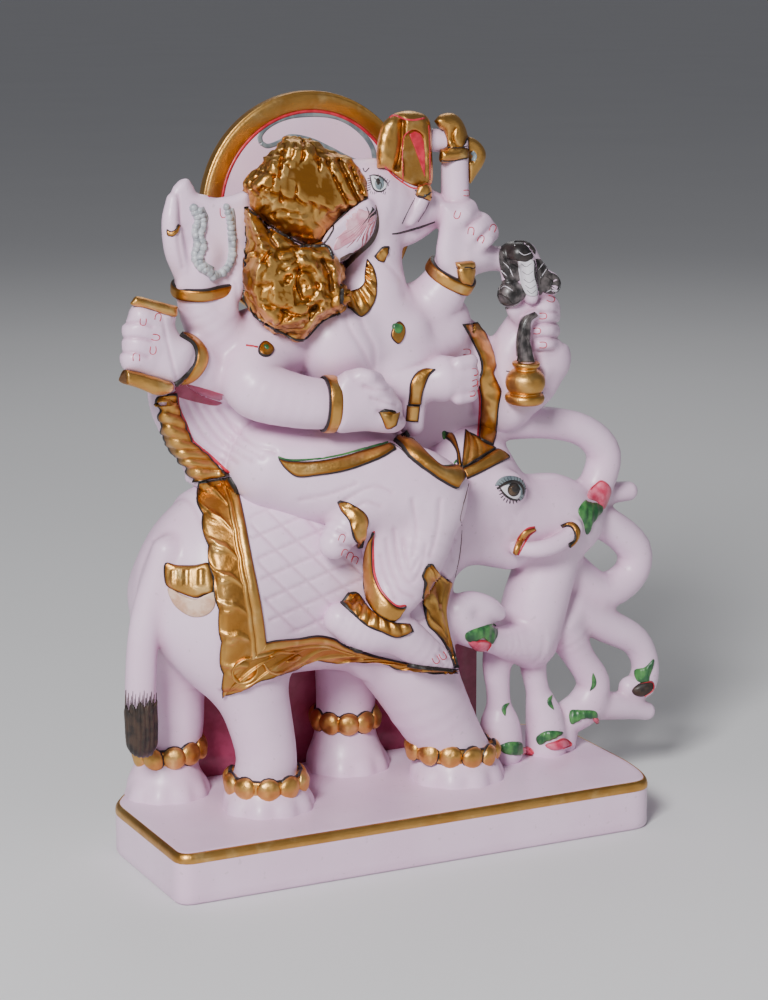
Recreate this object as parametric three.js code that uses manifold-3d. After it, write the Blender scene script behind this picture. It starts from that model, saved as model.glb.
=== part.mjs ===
// A marble idol, 305 mm tall: a boar-faced rider with six arms on an elephant with a fan of trunks,
// carved with its plinth and its halo from one block.
// Millimetres. The origin is on the plinth's flat underside. +X runs along the plinth towards the
// elephant's head, -Y is the carved front and +Z is up.
import * as THREE from 'three'
import { mergeVertices } from 'three/addons/utils/BufferGeometryUtils.js'
import Module from 'manifold-3d'

const wasm = await Module()
wasm.setup()

// Plinth
const plinthLeft = -105
const plinthRight = 113
const plinthDepth = 98
const plinthHeight = 21
const plinthBevel = 2.5
// Its cut corners, from one edge round to the next: [in from the left or right, in from the front or back]
const frontRightCut = [[8, 0], [2.5, 10], [0, 27]]
const backRightCut = [[0, 22], [14, 0]]
const backLeftCut = [[21, 0], [6, 18], [0, 27]]

// Halo: a disc with a ring left proud round its face, its edges chamfered
const haloRadius = 46.8
const haloRing = 8
const haloThickness = 6
const haloInset = 1.2
const haloChamfer = 0.5
const haloCentre = [-16.5, 22, 257.8]

// Elephant: the middle plane of its body, and how thick the barrel is for its height
const bodyMiddle = 11
const barrelDepth = 0.7
const toeSwelling = 0.05

// Blanket over the elephant: its raised border of leaves
const borderProud = 2.4
const leafSpacing = 19
const scallopWidth = 15
const scallopDepth = 1.6

// Anklets: two rows of beads round each leg
const ankletHeight = 12
const ankletProud = 2.4
const beadSwelling = 0.08

// Wall of stone that is left standing behind the legs
const wallFront = 37
const wallThickness = 6

// Cape behind the rider
const capeFront = 5
const capeThickness = 16
const pleats = 3

// The rider's bangles
const bangleWidth = 5
const bangleProud = 1.8

// How much prouder a lock of hair is than the hair beside it
const lockSwelling = 0.05

// Fingers of a closed hand, and how deep the lines between them are
const fingerCount = 4
const fingerGap = 0.16

// Facets round a thick, a middling and a thin limb
const thick = 8
const middling = 6
const thin = 4

// Facets round the halo, and round each leg, where every second one is a bead or a toe
const haloFacets = 28
const legFacets = 10

// A closed geometry becomes a solid once its shared vertices are merged and its empty triangles are dropped.
function solid(geometry) {
  const bare = geometry.clone()
  bare.deleteAttribute('normal')
  bare.deleteAttribute('uv')
  const merged = mergeVertices(bare, 1e-4)
  const corners = merged.index.array
  const triangles = []
  for (let i = 0; i < corners.length; i += 3) {
    const [a, b, c] = [corners[i], corners[i + 1], corners[i + 2]]
    if (a !== b && b !== c && c !== a) triangles.push(a, b, c)
  }
  const mesh = new wasm.Mesh({
    numProp: 3,
    vertProperties: new Float32Array(merged.attributes.position.array),
    triVerts: new Uint32Array(triangles),
  })
  return new wasm.Manifold(mesh)
}

const join = (solids) => solids.reduce((whole, next) => whole.add(next))

// Evenly spaced numbers from one value to another, both included.
const spread = (from, to, count) => {
  return Array.from({ length: count }, (_, i) => THREE.MathUtils.lerp(from, to, i / (count - 1)))
}

// A point that lies a share of the way from one point to another.
const between = (from, to, share) => from.map((value, axis) => THREE.MathUtils.lerp(value, to[axis], share))

// A round limb: a capsule of unit radius, bent along a smooth path through stations of [x, y, z,
// radius, swelling].
// depth is its half-width along Y for each millimetre of radius, so 1 is round and less is flatter.
// caps is the number of rings of facets in each rounded end. The swelling, 0 where it is left out, makes
// every other facet line wider and the next one narrower by that share, as a row of beads or toes is.
function limb(stations, { sides = middling, depth = 1, caps = 1 } = {}) {
  const spans = stations.length - 1
  const points = stations.map(([x, y, z]) => new THREE.Vector3(x, y, z))
  const path = new THREE.CatmullRomCurve3(points, false, 'centripetal')
  const capsule = new THREE.CapsuleGeometry(1, spans, caps, sides, spans)
  const position = capsule.attributes.position
  const towards = new THREE.Vector3(0, 1, 0)
  for (let i = 0; i < position.count; i += 1) {
    const height = position.getY(i)
    const t = THREE.MathUtils.clamp((height + spans / 2) / spans, 0, 1)
    const beyond = height - (t - 0.5) * spans
    const station = Math.min(Math.floor(t * spans), spans - 1)
    const [from, to, share] = [stations[station], stations[station + 1], t * spans - station]
    const swelling = THREE.MathUtils.lerp(from[4] ?? 0, to[4] ?? 0, share)
    const line = (i % (sides + 1)) % sides
    const radius = THREE.MathUtils.lerp(from[3], to[3], share) * (1 + swelling * (line % 2 === 0 ? 1 : -1))
    const tangent = path.getTangent(t)
    const front = towards.clone().addScaledVector(tangent, -towards.dot(tangent)).normalize()
    const across = new THREE.Vector3().crossVectors(front, tangent)
    const point = path.getPoint(t)
    point.addScaledVector(front, position.getX(i) * radius * depth)
    point.addScaledVector(across, position.getZ(i) * radius)
    point.addScaledVector(tangent, beyond * radius)
    position.setXYZ(i, point.x, point.y, point.z)
  }
  return solid(capsule)
}

// A thin ridge or finger: a limb of few facets.
const ridge = (stations) => limb(stations, { sides: thin })

// An ellipsoid with its own half-width along each axis, leaned about Y by lean degrees. Its facet lines run
// from front to back, and a swelling makes every other one prouder, as locks of hair are.
function mass(centre, halves, { sides = thick, rings = 4, lean = 0, swelling = 0 } = {}) {
  const sphere = new THREE.SphereGeometry(1, sides, rings)
  const position = sphere.attributes.position
  for (let i = 0; i < position.count; i += 1) {
    const line = (i % (sides + 1)) % sides
    const prouder = 1 + swelling * (line % 2 === 0 ? 1 : -1) * Math.hypot(position.getX(i), position.getZ(i))
    position.setXYZ(i, position.getX(i) * prouder, position.getY(i), position.getZ(i) * prouder)
  }
  sphere.scale(...halves)
  sphere.rotateY(THREE.MathUtils.degToRad(lean))
  sphere.translate(...centre)
  return solid(sphere)
}

// A small bud, leaf or coil: an ellipsoid of few facets.
const knob = (centre, halves, lean = 0) => mass(centre, halves, { sides: thin, rings: 3, lean })

// A slab that stands across Y: an outline of [x, z] corners, from the plane y = front back by thickness.
function slab(outline, front, thickness) {
  const shape = new THREE.Shape(outline.map(([x, z]) => new THREE.Vector2(x, z)))
  const block = new THREE.ExtrudeGeometry(shape, { depth: thickness, bevelEnabled: false })
  block.rotateX(Math.PI / 2)
  block.translate(0, front + thickness, 0)
  return solid(block)
}

// A turned form about an upright axis, leaned about Y: a profile of [radius, height] from axis to axis.
function turned(profile, centre, { sides = middling, lean = 0 } = {}) {
  const lathe = new THREE.LatheGeometry(profile.map(([r, z]) => new THREE.Vector2(r, z)), sides)
  lathe.rotateX(Math.PI / 2)
  lathe.rotateY(THREE.MathUtils.degToRad(lean))
  lathe.translate(...centre)
  return solid(lathe)
}

// The plinth is a plain bevelled block, square at its front left corner and cut away at the others.
function plinth() {
  const edge = plinthDepth / 2
  const outline = [
    [plinthLeft, -edge],
    ...frontRightCut.map(([x, y]) => [plinthRight - x, y - edge]),
    ...backRightCut.map(([x, y]) => [plinthRight - x, edge - y]),
    ...backLeftCut.map(([x, y]) => [plinthLeft + x, edge - y]),
  ]
  const shape = new THREE.Shape(outline.map(([x, y]) => new THREE.Vector2(x, y)))
  const block = new THREE.ExtrudeGeometry(shape, {
    depth: plinthHeight - 2 * plinthBevel,
    bevelSize: plinthBevel,
    bevelThickness: plinthBevel,
    bevelOffset: -plinthBevel,
    bevelSegments: 1,
  })
  block.translate(0, 0, plinthBevel)
  return solid(block)
}

// The halo's face is sunk a little inside its ring.
function halo() {
  const face = -haloThickness / 2
  const inner = haloRadius - haloRing
  const profile = [
    [0, face + haloInset],
    [inner, face + haloInset],
    [inner, face],
    [haloRadius, face + haloChamfer],
    [haloRadius, -face - haloChamfer],
    [0, -face],
  ]
  const disc = new THREE.LatheGeometry(profile.map(([r, y]) => new THREE.Vector2(r, y)), haloFacets)
  disc.translate(...haloCentre)
  return solid(disc)
}

// The barrel's stations from rump to chest, and the rounder masses on it: [centre, half-widths]
const barrel = [
  [-64, bodyMiddle, 111, 34],
  [-48, bodyMiddle, 113, 43],
  [-22, bodyMiddle, 113, 44],
  [-2, bodyMiddle, 110, 41],
  [9, bodyMiddle - 1, 112, 32],
]
const haunches = [
  [[-62, 0, 100], [28, 22, 36]],
  [[12, -2, 92], [24, 20, 34]],
]

// The elephant's body, all of it fatter by the same amount.
function flanks(fatter = 0) {
  const rump = barrel.map(([x, y, z, r]) => [x, y, z, r + fatter / barrelDepth])
  const masses = haunches.map(([centre, halves]) => mass(centre, halves.map((half) => half + fatter)))
  return join([limb(rump, { sides: 10, depth: barrelDepth, caps: 2 }), ...masses])
}

// Where the near flank's surface lies along Y at a place on it, from the formula of each ellipsoid.
function nearFlank(x, z) {
  const last = barrel.length - 1
  const after = barrel.findIndex((station, i) => i === last || (i > 0 && station[0] > x))
  const [from, to] = [barrel[after - 1], barrel[after]]
  const share = THREE.MathUtils.clamp((x - from[0]) / (to[0] - from[0]), 0, 1)
  const [, y, middle, radius] = between(from, to, share)
  const rounds = [[[x, y, middle], [1, radius * barrelDepth, radius]], ...haunches]
  const depths = rounds.map(([centre, halves]) => {
    const inside = 1 - ((x - centre[0]) / halves[0]) ** 2 - ((z - centre[2]) / halves[2]) ** 2
    return inside > 0 ? centre[1] - halves[1] * Math.sqrt(inside) : bodyMiddle
  })
  return Math.min(...depths)
}

// The blanket's lower and side edges, and the line inside which its middle field is sunk: [x, z]
const blanketEdge = [
  [-75, 158], [-74.5, 127], [-72.6, 74.5], [-41.5, 80], [-20, 80], [5, 75], [26, 71], [18, 111],
  [14, 160],
]
const fieldEdge = [[-62, 170], [-60, 127], [-56, 93], [-30, 94], [2, 90], [6, 100], [3, 130], [1, 172]]
// The middle line of the border, along which its leaves lie
const leafLine = [[-66, 134], [-67, 112], [-63, 86], [-36, 87], [-8, 84], [12, 82], [12, 104]]

// A line of [x, z] corners with a round lobe pushed out for every scallop's width of it.
function scalloped(line) {
  const corners = []
  for (let i = 0; i + 1 < line.length; i += 1) {
    const [a, b] = [line[i], line[i + 1]]
    const [along, up] = [b[0] - a[0], b[1] - a[1]]
    const length = Math.hypot(along, up)
    const lobes = Math.max(Math.round(length / scallopWidth), 1)
    for (let lobe = 0; lobe < lobes; lobe += 1) {
      const middle = between(a, b, (lobe + 0.5) / lobes)
      corners.push(between(a, b, lobe / lobes))
      corners.push([middle[0] + (up / length) * scallopDepth, middle[1] - (along / length) * scallopDepth])
    }
  }
  return [...corners, line[line.length - 1]]
}

// The blanket's border is a strip of the near flank, a little fatter, between two outlines.
function blanket() {
  const across = 60
  const strip = slab(scalloped(blanketEdge), bodyMiddle - across, across)
  return flanks(borderProud).intersect(strip.subtract(slab(fieldEdge, bodyMiddle - 2 * across, 3 * across)))
}

// Leaves in a row along the blanket's border, each lying on the flank and leaning in turn to either side.
function borderLeaves() {
  const corners = leafLine.map(([x, z]) => new THREE.Vector3(x, 0, z))
  const path = new THREE.CatmullRomCurve3(corners, false, 'centripetal')
  const count = Math.round(path.getLength() / leafSpacing)
  const leaves = spread(0, 1, count).map((share, number) => {
    const place = path.getPointAt(share)
    const way = path.getTangentAt(share)
    const lean = THREE.MathUtils.radToDeg(Math.atan2(way.x, way.z)) + (number % 2 === 0 ? 30 : -30)
    return knob([place.x, nearFlank(place.x, place.z) - borderProud, place.z], [3, 2.2, 6], lean)
  })
  return join(leaves)
}

// The elephant's legs from the hip to the ankle, and the radius of each flared foot
const elephantLegs = [
  { leg: [
    [-64, 0, 108, 20], [-57, -5, 76, 15.6], [-50, -6, 46, 12.8],
  ], ankle: [-50, -6, 31, 13.4], foot: 19 },
  { leg: [
    [-76, 26, 104, 17], [-76, 28, 76, 13.8], [-75, 28, 52, 11.8],
  ], ankle: [-78, 28, 33, 12.6], foot: 17.5 },
  { leg: [[9, -2, 92, 20], [20, -5, 62, 18], [32, -5, 44, 15.4]], ankle: [35.5, -5, 31, 15.4], foot: 20 },
  { leg: [[4, 26, 84, 17], [3, 28, 64, 13.8], [2, 28, 48, 12.8]], ankle: [2, 28, 34, 13], foot: 18 },
]

// Each leg runs down through an anklet of two rows of beads to a flared foot with a rim of toes.
function elephantLimbs() {
  const rows = [[0.5, 0], [0.3, beadSwelling], [-0.3, beadSwelling], [-0.5, 0]]
  const legs = elephantLegs.map(({ leg, ankle: [x, y, z, r], foot }) => {
    const anklet = rows.map(([level, swelling]) => {
      return [x, y, z + level * ankletHeight, swelling > 0 ? r + ankletProud : r, swelling]
    })
    const toes = [x, y, plinthHeight + 3, foot, toeSwelling]
    const sole = [[x, y, plinthHeight - 1, foot, toeSwelling], [x, y, plinthHeight - 2, 1]]
    return limb([...leg, ...anklet, toes, ...sole], { sides: legFacets })
  })
  const tail = limb([
    [-88, 2, 128, 6], [-96.5, 4, 101, 6], [-98.5, 6, 71, 6.4], [-97, 7, 50, 6.2],
  ], { sides: 5 })
  return join([...legs, tail])
}

// Skull, face and jaw, with the ear laid back against the neck and the tusk along the trunk.
function elephantHead() {
  const ear = [
    [24, 149], [35, 150], [40, 146], [37, 139], [36.5, 121], [34.5, 112], [31, 106.5], [25, 109],
    [19.5, 118], [19.5, 139],
  ]
  return join([
    mass([46, 8, 141], [22, 20, 28], { lean: 22 }),
    limb([
      [48, 6, 138, 22], [66, 5, 128, 19.5], [84, 5, 124.5, 18], [97, 6, 122, 15],
    ], { sides: thick, caps: 2 }),
    limb([[35.8, 3, 122, 14], [50, 1, 118, 10], [64.5, 0, 114, 9]]),
    mass([31, 7, 130], [18, 20, 28]),
    slab(ear, -17, 25),
    mass([57, -12, 143], [9, 5, 7], { sides: middling, rings: 4, lean: 20 }),
    ridge([[62, -12, 116.5, 3.4], [72, -15.5, 116.5, 4], [82, -15.5, 119, 4], [89, -13.5, 123, 3.6]]),
  ])
}

// Each trunk of the fan, from the head outwards.
const trunks = {
  middle: [[88, 5, 126, 16], [86, 4, 108, 14], [79, 4, 85, 14.5], [78, 4, 72, 12.5]],
  curled: [
    [75, 0, 73, 11], [65, -4, 74.5, 8.4], [53, -8, 77.5, 6.2], [41, -11, 84, 7], [34.6, -12, 92, 7],
    [40, -12, 96, 6], [53, -12, 90.5, 4],
  ],
  first: [
    [65, 3, 74, 9], [61.4, 3, 64, 6.8], [62, 3, 52, 5.6], [62.5, 3, 44, 6], [63, 3, 36, 8.8],
    [64, 3, 25, 9.4],
  ],
  second: [
    [84, 5, 75.5, 9], [80, 5, 62.5, 6.6], [82, 5, 50, 5.6], [84, 5, 42.5, 7], [86.4, 5, 34, 8.8],
    [87, 5, 24, 9.4],
  ],
  third: [
    [94.5, 7, 77, 10], [103.5, 7, 61.5, 7.4], [111, 7, 48.5, 7.8], [107, 7, 38, 8.4],
    [96.5, 7, 32.5, 8], [95, 7, 23.5, 7.4],
  ],
  thirdTip: [[110.5, 8, 38.5, 7.4], [123, 8, 36, 6.4], [132, 8, 34, 5.6], [139.5, 8, 31.5, 4.4]],
  fourth: [
    [100, 8, 84, 9.6], [118, 8, 73, 8.2], [132.5, 8, 64.5, 7.2], [138.5, 8, 53.5, 6.6],
    [136.5, 8, 44, 7], [130, 8, 43.5, 5],
  ],
  fifth: [
    [95, 8, 104, 8.6], [114, 8, 89, 8.6], [129, 8, 94, 8.2], [131, 8, 106, 8.2], [117, 8, 118, 8],
    [101, 8, 123, 8],
  ],
  sixth: [
    [96, 6, 122, 9.6], [109, 6, 134, 8.2], [114, 6, 149, 8], [104, 6, 160, 7.4], [85, 7, 165, 7.4],
    [60, 8, 166, 7.4],
  ],
  seventh: [[104, 10, 130, 6.4], [116, 10, 131, 5.4], [129, 10, 131, 4.6]],
}

// Buds that the trunk tips hold, the lower ones joined to the plinth: [x, y, z, radius]
const buds = [
  [44, -16, 80, 6], [68, -6, 26.5, 6.6], [89, -3, 26.5, 6.6], [104, -1, 37, 6], [136, 0, 48, 6.6],
  [106, -1, 129, 7.5],
]

function elephantTrunks() {
  const fan = Object.values(trunks).map((stations) => {
    const [, , , root] = stations[0]
    return limb(stations, { sides: root > 9 ? middling : thin + 1 })
  })
  const ball = mass([42.8, -9, 88], [10.8, 8.5, 11], { sides: middling })
  return join([...fan, ball, ...buds.map(([x, y, z, r]) => knob([x, y, z], [r, r, r * 1.1]))])
}

function wall() {
  const outline = [[-86, 19], [70, 19], [70, 76], [60, 84], [46, 94], [24, 108], [-66, 112], [-82, 96]]
  return slab(outline, wallFront, wallThickness)
}

// The cape's pleats fan from the shoulder down to its lower corner, and one hangs at the other side.
function cape() {
  const outline = [
    [-84, 200], [-88, 190], [-85, 176], [-74, 158], [-60, 147], [40, 146], [59, 157], [62.5, 178], [61, 198],
    [48, 212], [20, 218], [-40, 218], [-66, 206],
  ]
  const [outer, inner] = [
    [[-83, 190], [-80, 178], [-73, 168], [-61, 159]], [[-66, 186], [-60, 176], [-53, 167], [-44, 161]],
  ]
  const folds = spread(0, 1, pleats).map((share) => {
    return ridge(outer.map((corner, i) => [
      ...between(corner, inner[i], share), 2.6,
    ]).map(([x, z, r]) => [x, capeFront, z, r]))
  })
  const hanging = ridge([[47.5, capeFront, 204, 2.6], [50, capeFront, 192, 3], [49, capeFront, 172, 2.6]])
  return join([slab(outline, capeFront, capeThickness), ...folds, hanging])
}

function riderTorso() {
  return join([
    mass([-20, 3, 164], [36, 25, 20], { sides: 10 }),
    limb([
      [-16, 3, 168, 24], [-9, 3, 186, 20.5], [-5, 2, 206, 24], [-2, 2, 217, 16],
    ], { sides: thick, depth: 0.82 }),
    mass([-17, -8, 206], [17, 13, 18]),
    mass([11, -5, 208], [15, 13, 16]),
    limb([[-42, 2, 210, 14], [-4, 5, 217, 14], [33, 3, 212, 12.6]], { depth: 0.95 }),
    limb([[-1, 0, 218, 15], [1, -1, 234, 12.6], [1, 0, 250, 13]]),
  ])
}

// A boar's head: a snout with the small jaw under it, a leaf-shaped ear and one tusk.
function riderHead() {
  const ear = [[-15.5, 259], [-6.4, 264], [-3, 257], [-7, 247], [-17, 240], [-23.4, 244], [-24.6, 251]]
  return join([
    mass([-2, 0, 263], [20, 15, 17]),
    limb([[2, -1, 262, 15.4], [15, -2, 259.6, 11], [25, -3, 258.4, 7.8], [29, -3, 257, 5.8]]),
    ridge([[3, -2, 250, 8.4], [14, -3, 248.6, 5.6], [21, -3, 250, 4.2], [27, -3, 252.4, 3]]),
    slab(ear, -17.5, 12),
    ridge([[18, -12.4, 265, 3], [15.6, -12, 260, 3.2], [12.4, -11.4, 254.5, 2.4]]),
  ])
}

// The hair is drawn back in two bunches of locks, with a wisp at the back of each.
function riderHair() {
  return join([
    mass([-28, 6, 266], [27, 18, 20], { sides: 12, swelling: lockSwelling }),
    mass([-37, -4, 234], [20, 14, 23], { sides: 12, swelling: lockSwelling }),
    ridge([[-40, -1, 268, 10], [-56, -1, 268, 3]]),
    ridge([[-48, -7, 246, 8], [-55.5, -9, 259, 3.4]]),
    ridge([[-30, -9, 226, 10], [-20, -12, 224, 8]]),
  ])
}

// The little tower on the snout has an arched niche, and a bar of stone ties it to the staff.
function tower() {
  const profile = [[0, -21], [9.4, -21], [12.4, -10], [12.4, 4], [9.8, 14], [5, 18.6], [0, 19.4]]
  const niche = limb([[13.6, -15.5, 270, 4], [13.6, -15.5, 279, 4]], { depth: 0.6 })
  return join([
    turned(profile, [13.6, -4, 278], { sides: thick }), ridge([[20, -4, 286, 5], [34, -6, 284.6, 5]]),
  ]).subtract(niche)
}

// The staff has a domed cap, a curved blade at its side and a foot on the shoulder.
function staff() {
  const blade = [
    [38.8, -5, 286, 3.2], [46, -4, 284.5, 3], [49.8, -4, 278.4, 2.8], [46, -4, 271.3, 2.6],
    [42.6, -5, 266, 2.6],
  ]
  const cap = [[0, -10], [7, -10], [7.8, 1], [5.4, 5], [4.6, 8.6], [0, 9.6]]
  return join([
    limb([[35, -6, 284, 5.8], [35.4, -6, 262, 6], [36.4, -9, 244, 5.6], [36, -12, 229, 4]]),
    turned(cap, [34.5, -6, 286.4]),
    ridge(blade),
  ])
}

// Arms by their place on the figure: R and L are the rider's own right and left. Each ends in its hand.
const arms = {
  upperR: [
    [-42, 3, 208, 14.6], [-60, 3, 209, 13], [-71, 0, 222, 10.6], [-75, -2, 232, 8.4],
    [-74, -2, 244, 9.4],
  ],
  middleR: [
    [-42, 3, 204, 13.6], [-56, 3, 196, 11], [-68, 0, 198, 10.4], [-80, -5, 204, 9], [-92, -8, 211, 12],
  ],
  lowerR: [
    [-43, 0, 208, 13.6], [-54, -8, 200, 13], [-56, -15, 193, 12.4], [-42, -22, 188, 11],
    [-28, -25, 186, 10], [-10, -28, 184, 12],
  ],
  upperL: [[32, 2, 210, 13], [27, -1, 218, 12], [31, -4, 226, 10.6], [37, -6, 237, 8.6]],
  middleL: [[34, 6, 207, 11.6], [52, 8, 190, 11.6], [63, 5, 176, 12], [67, 3, 196, 10.6], [74, 2, 206, 10.6]],
  lowerL: [
    [30, 0, 205, 12.6], [10, -8, 196, 10.6], [3, -10, 192, 9.6], [14, -15, 190.5, 8.6],
    [30, -18, 191.5, 8.8],
  ],
}

// An arm with a bangle round it, a share of the way from one of its stations to the next.
function braceleted(arm, station, share) {
  const [from, to] = [arm[station], arm[station + 1]]
  const length = Math.hypot(to[0] - from[0], to[1] - from[1], to[2] - from[2])
  const ring = [-1, 0, 1].map((side) => {
    const [x, y, z, r] = between(from, to, share + (side * bangleWidth) / 2 / length)
    return [x, y, z, side === 0 ? r + bangleProud : r]
  })
  return limb([...arm.slice(0, station + 1), ...ring, ...arm.slice(station + 1)])
}

function riderArms() {
  return join([
    braceleted(arms.upperR, 2, 0.7),
    braceleted(arms.middleR, 2, 0.65),
    braceleted(arms.lowerR, 3, 0.6),
    braceleted(arms.upperL, 2, 0.45),
    limb(arms.middleL),
    braceleted(arms.lowerL, 3, 0.35),
  ])
}

// Closed fingers side by side: a limb along the knuckles, drawn in between one finger and the next.
function fingers(first, last, radius, depth = 1) {
  const stations = spread(0, 1, 2 * fingerCount - 1).map((share, i) => {
    return [...between(first, last, share), radius * (i % 2 === 0 ? 1 : 1 - fingerGap)]
  })
  return limb(stations, { sides: thin, depth })
}

function riderHands() {
  const palm = [
    [-84, 271], [-78, 274], [-71, 267.5], [-53, 268], [-51, 263], [-59, 236], [-68, 229], [-75, 228],
    [-83, 231], [-87, 257],
  ]
  const staffHand = [
    [29, 260], [41, 261], [53, 252], [50, 245], [53, 236], [46, 231.5], [30, 232.5], [27, 240],
  ]
  const snakeHand = [
    [61, 218], [70, 220], [85, 218], [84, 209], [92, 193], [84, 184], [80, 182], [74, 197], [68, 206],
  ]
  return join([
    slab(palm, -8, 13),
    ridge([[-86, -6, 266, 3], [-87, -7, 258, 4], [-85.5, -6, 247, 4.6], [-81.5, -4, 238.5, 4.4]]),
    ridge([[-55, -3, 262, 3.6], [-58, -4, 242, 4.2], [-64, -5, 225, 5]]),
    fingers([-101, -10, 226], [-101, -10, 203], 8),
    fingers([-16, -30, 196], [-7, -30, 179], 7.6, 0.8),
    fingers([32, -20, 200], [32, -20, 183], 5.6),
    ridge([[12.5, -15, 185, 5.4], [12, -14, 173.5, 5.4]]),
    slab(staffHand, -12, 14),
    fingers([34, -10, 258], [48, -10, 243], 5.4, 0.8),
    ridge([[41, -5, 237, 5.8], [59.5, -5, 236.4, 5.8]]),
    slab(snakeHand, -8, 13),
    fingers([78, -5, 219], [78, -5, 196], 6, 0.8),
    ridge([[84, 0, 190, 8], [80, 2, 180, 7], [70, 3, 174, 8]]),
  ])
}

// What the hands hold: drum, snake, pot and goad.
function heldThings() {
  const drum = [[0, -15.5], [10, -15.5], [10, -11], [7, 0], [10, 11], [10, 15.5], [0, 15.5]]
  const pot = [[0, -11], [7, -10], [5, -5], [8.4, 1], [4, 7], [4.6, 11], [0, 11]]
  const hood = [
    [57, 235], [57.6, 240.5], [61.5, 243], [73, 241], [76.5, 235.5], [84, 228.5], [83, 220], [69, 218],
    [63, 221], [58.5, 226],
  ]
  return join([
    turned(drum, [-97.3, -8, 211.8], { lean: 6.5 }),
    turned(pot, [66, -10, 185]),
    slab(hood, -10, 12),
    ridge([[62, -11, 239, 5], [65.3, -12, 235.6, 3.8], [66.6, -11.5, 228, 3.6], [68, -10.5, 221, 3.6]]),
    knob([60.3, -8, 222.4], [6.4, 5.6, 6]),
    knob([79.2, -6, 225.2], [5.4, 5.4, 5.4]),
    ridge([[71.4, -10, 214, 2.6], [66.2, -11, 211.4, 3.2], [64.4, -11, 203.7, 3.6], [66, -11, 194.5, 4]]),
    ridge([[-2, -26, 174, 4], [6, -27, 168, 4], [14, -27, 160, 4], [28, -25, 152, 4]]),
    ridge([[28, -25, 152, 4], [30, -24, 160, 2.6], [25, -24, 168, 2.6]]),
  ])
}

// The near thigh with the shin hanging over the flank, the foot along the blanket, the other leg folded.
function riderLegs() {
  const robeFolds = spread(0, 1, 2).map((share) => {
    const path = [
      [[-6, -33, 136], [9, -32, 138]], [[-5, -33, 123], [11, -31, 126]], [[0, -32, 112], [6, -31, 114]],
    ]
    return ridge(path.map(([first, last]) => [...between(first, last, share), 2.2]))
  })
  return join([
    limb([
      [-46, -4, 160, 18], [-17, -12, 152, 19.4], [8, -19, 147, 17.8], [17, -22, 142, 14.6],
    ], { sides: thick }),
    limb([[14, -21, 141, 15], [10, -24, 127, 13.6], [2, -26, 111, 10.8], [-5, -26, 103, 8.4]]),
    limb([[-7, -20, 143, 9.6], [-4.5, -21, 122, 9], [-5, -23, 100, 6]]),
    limb([
      [-24, -22, 99, 7.6], [-14.5, -24.5, 94.5, 9.2], [1, -25.5, 88.5, 9.4], [12, -26.5, 82, 7.4],
      [21, -27, 77, 4.2],
    ]),
    limb([[-10, -20, 145, 11.6], [-20, -24, 139, 9.2], [-29, -27, 131, 6.6]]),
    ...robeFolds,
  ])
}

const marble = new THREE.MeshStandardMaterial({
  name: 'marble',
  color: 0xe9dfe4,
  roughness: 0.34,
  metalness: 0,
})

// One solid becomes one named mesh.
function part(name, body, material) {
  const { vertProperties, triVerts } = body.getMesh()
  const geometry = new THREE.BufferGeometry()
  geometry.setAttribute('position', new THREE.BufferAttribute(new Float32Array(vertProperties), 3))
  geometry.setIndex(new THREE.BufferAttribute(new Uint32Array(triVerts), 1))
  geometry.computeVertexNormals()
  const mesh = new THREE.Mesh(geometry, material)
  mesh.name = name
  return mesh
}

const idol = join([
  plinth(),
  wall(),
  flanks(),
  blanket(),
  borderLeaves(),
  elephantLimbs(),
  elephantHead(),
  elephantTrunks(),
  cape(),
  halo(),
  riderTorso(),
  riderHead(),
  riderHair(),
  tower(),
  staff(),
  riderArms(),
  riderHands(),
  heldThings(),
  riderLegs(),
])

const model = new THREE.Group()
model.add(part('manibhadra_idol', idol, marble))

export default model
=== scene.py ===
"""A marble idol, 305 mm tall: a boar-faced rider with six arms on an elephant with a fan of trunks.

Lengths are millimetres in the part's own frame and become metres in the meshes: +X towards the elephant's head,
-Y the carved front, +Z up. The carved stone is a distance field, negative inside: limbs, balls, slabs and rings
are worked out on a grid of points as whole arrays and blended, and the zero surface becomes the mesh. Paint and
gold follow outlines given in the photograph's pixels, laid on the stone along the camera's sight lines.
"""
import math

import bpy
import numpy as np
import openvdb
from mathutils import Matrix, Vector


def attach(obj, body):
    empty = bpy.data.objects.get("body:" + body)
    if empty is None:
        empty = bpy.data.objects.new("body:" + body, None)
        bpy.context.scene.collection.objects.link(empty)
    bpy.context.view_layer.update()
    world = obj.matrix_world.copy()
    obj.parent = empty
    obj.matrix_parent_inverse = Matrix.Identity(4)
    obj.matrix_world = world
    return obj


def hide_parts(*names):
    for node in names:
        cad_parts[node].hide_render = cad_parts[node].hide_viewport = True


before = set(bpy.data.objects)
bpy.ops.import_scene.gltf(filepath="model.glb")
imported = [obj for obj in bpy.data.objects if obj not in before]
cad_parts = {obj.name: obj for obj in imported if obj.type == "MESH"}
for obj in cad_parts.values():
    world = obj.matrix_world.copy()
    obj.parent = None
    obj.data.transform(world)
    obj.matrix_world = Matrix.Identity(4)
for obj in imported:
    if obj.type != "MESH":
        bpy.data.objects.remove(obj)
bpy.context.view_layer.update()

MM = 0.001
NODE = "manibhadra_idol"
rng = np.random.default_rng(7)

# The camera that took the photograph, and the photograph's frame in pixels
VIEW_AZIMUTH = 26.4
VIEW_PITCH = 11.8
VIEW_DISTANCE = 991.2
VIEW_TARGET = np.array((-22.7, -58.8, 154.0))
PHOTO_WIDTH = 768
PHOTO_HEIGHT = 1000
FOCAL_PIXELS = 2600
SENSOR = 36
PIXELS_PER_MM = 2.62

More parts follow.
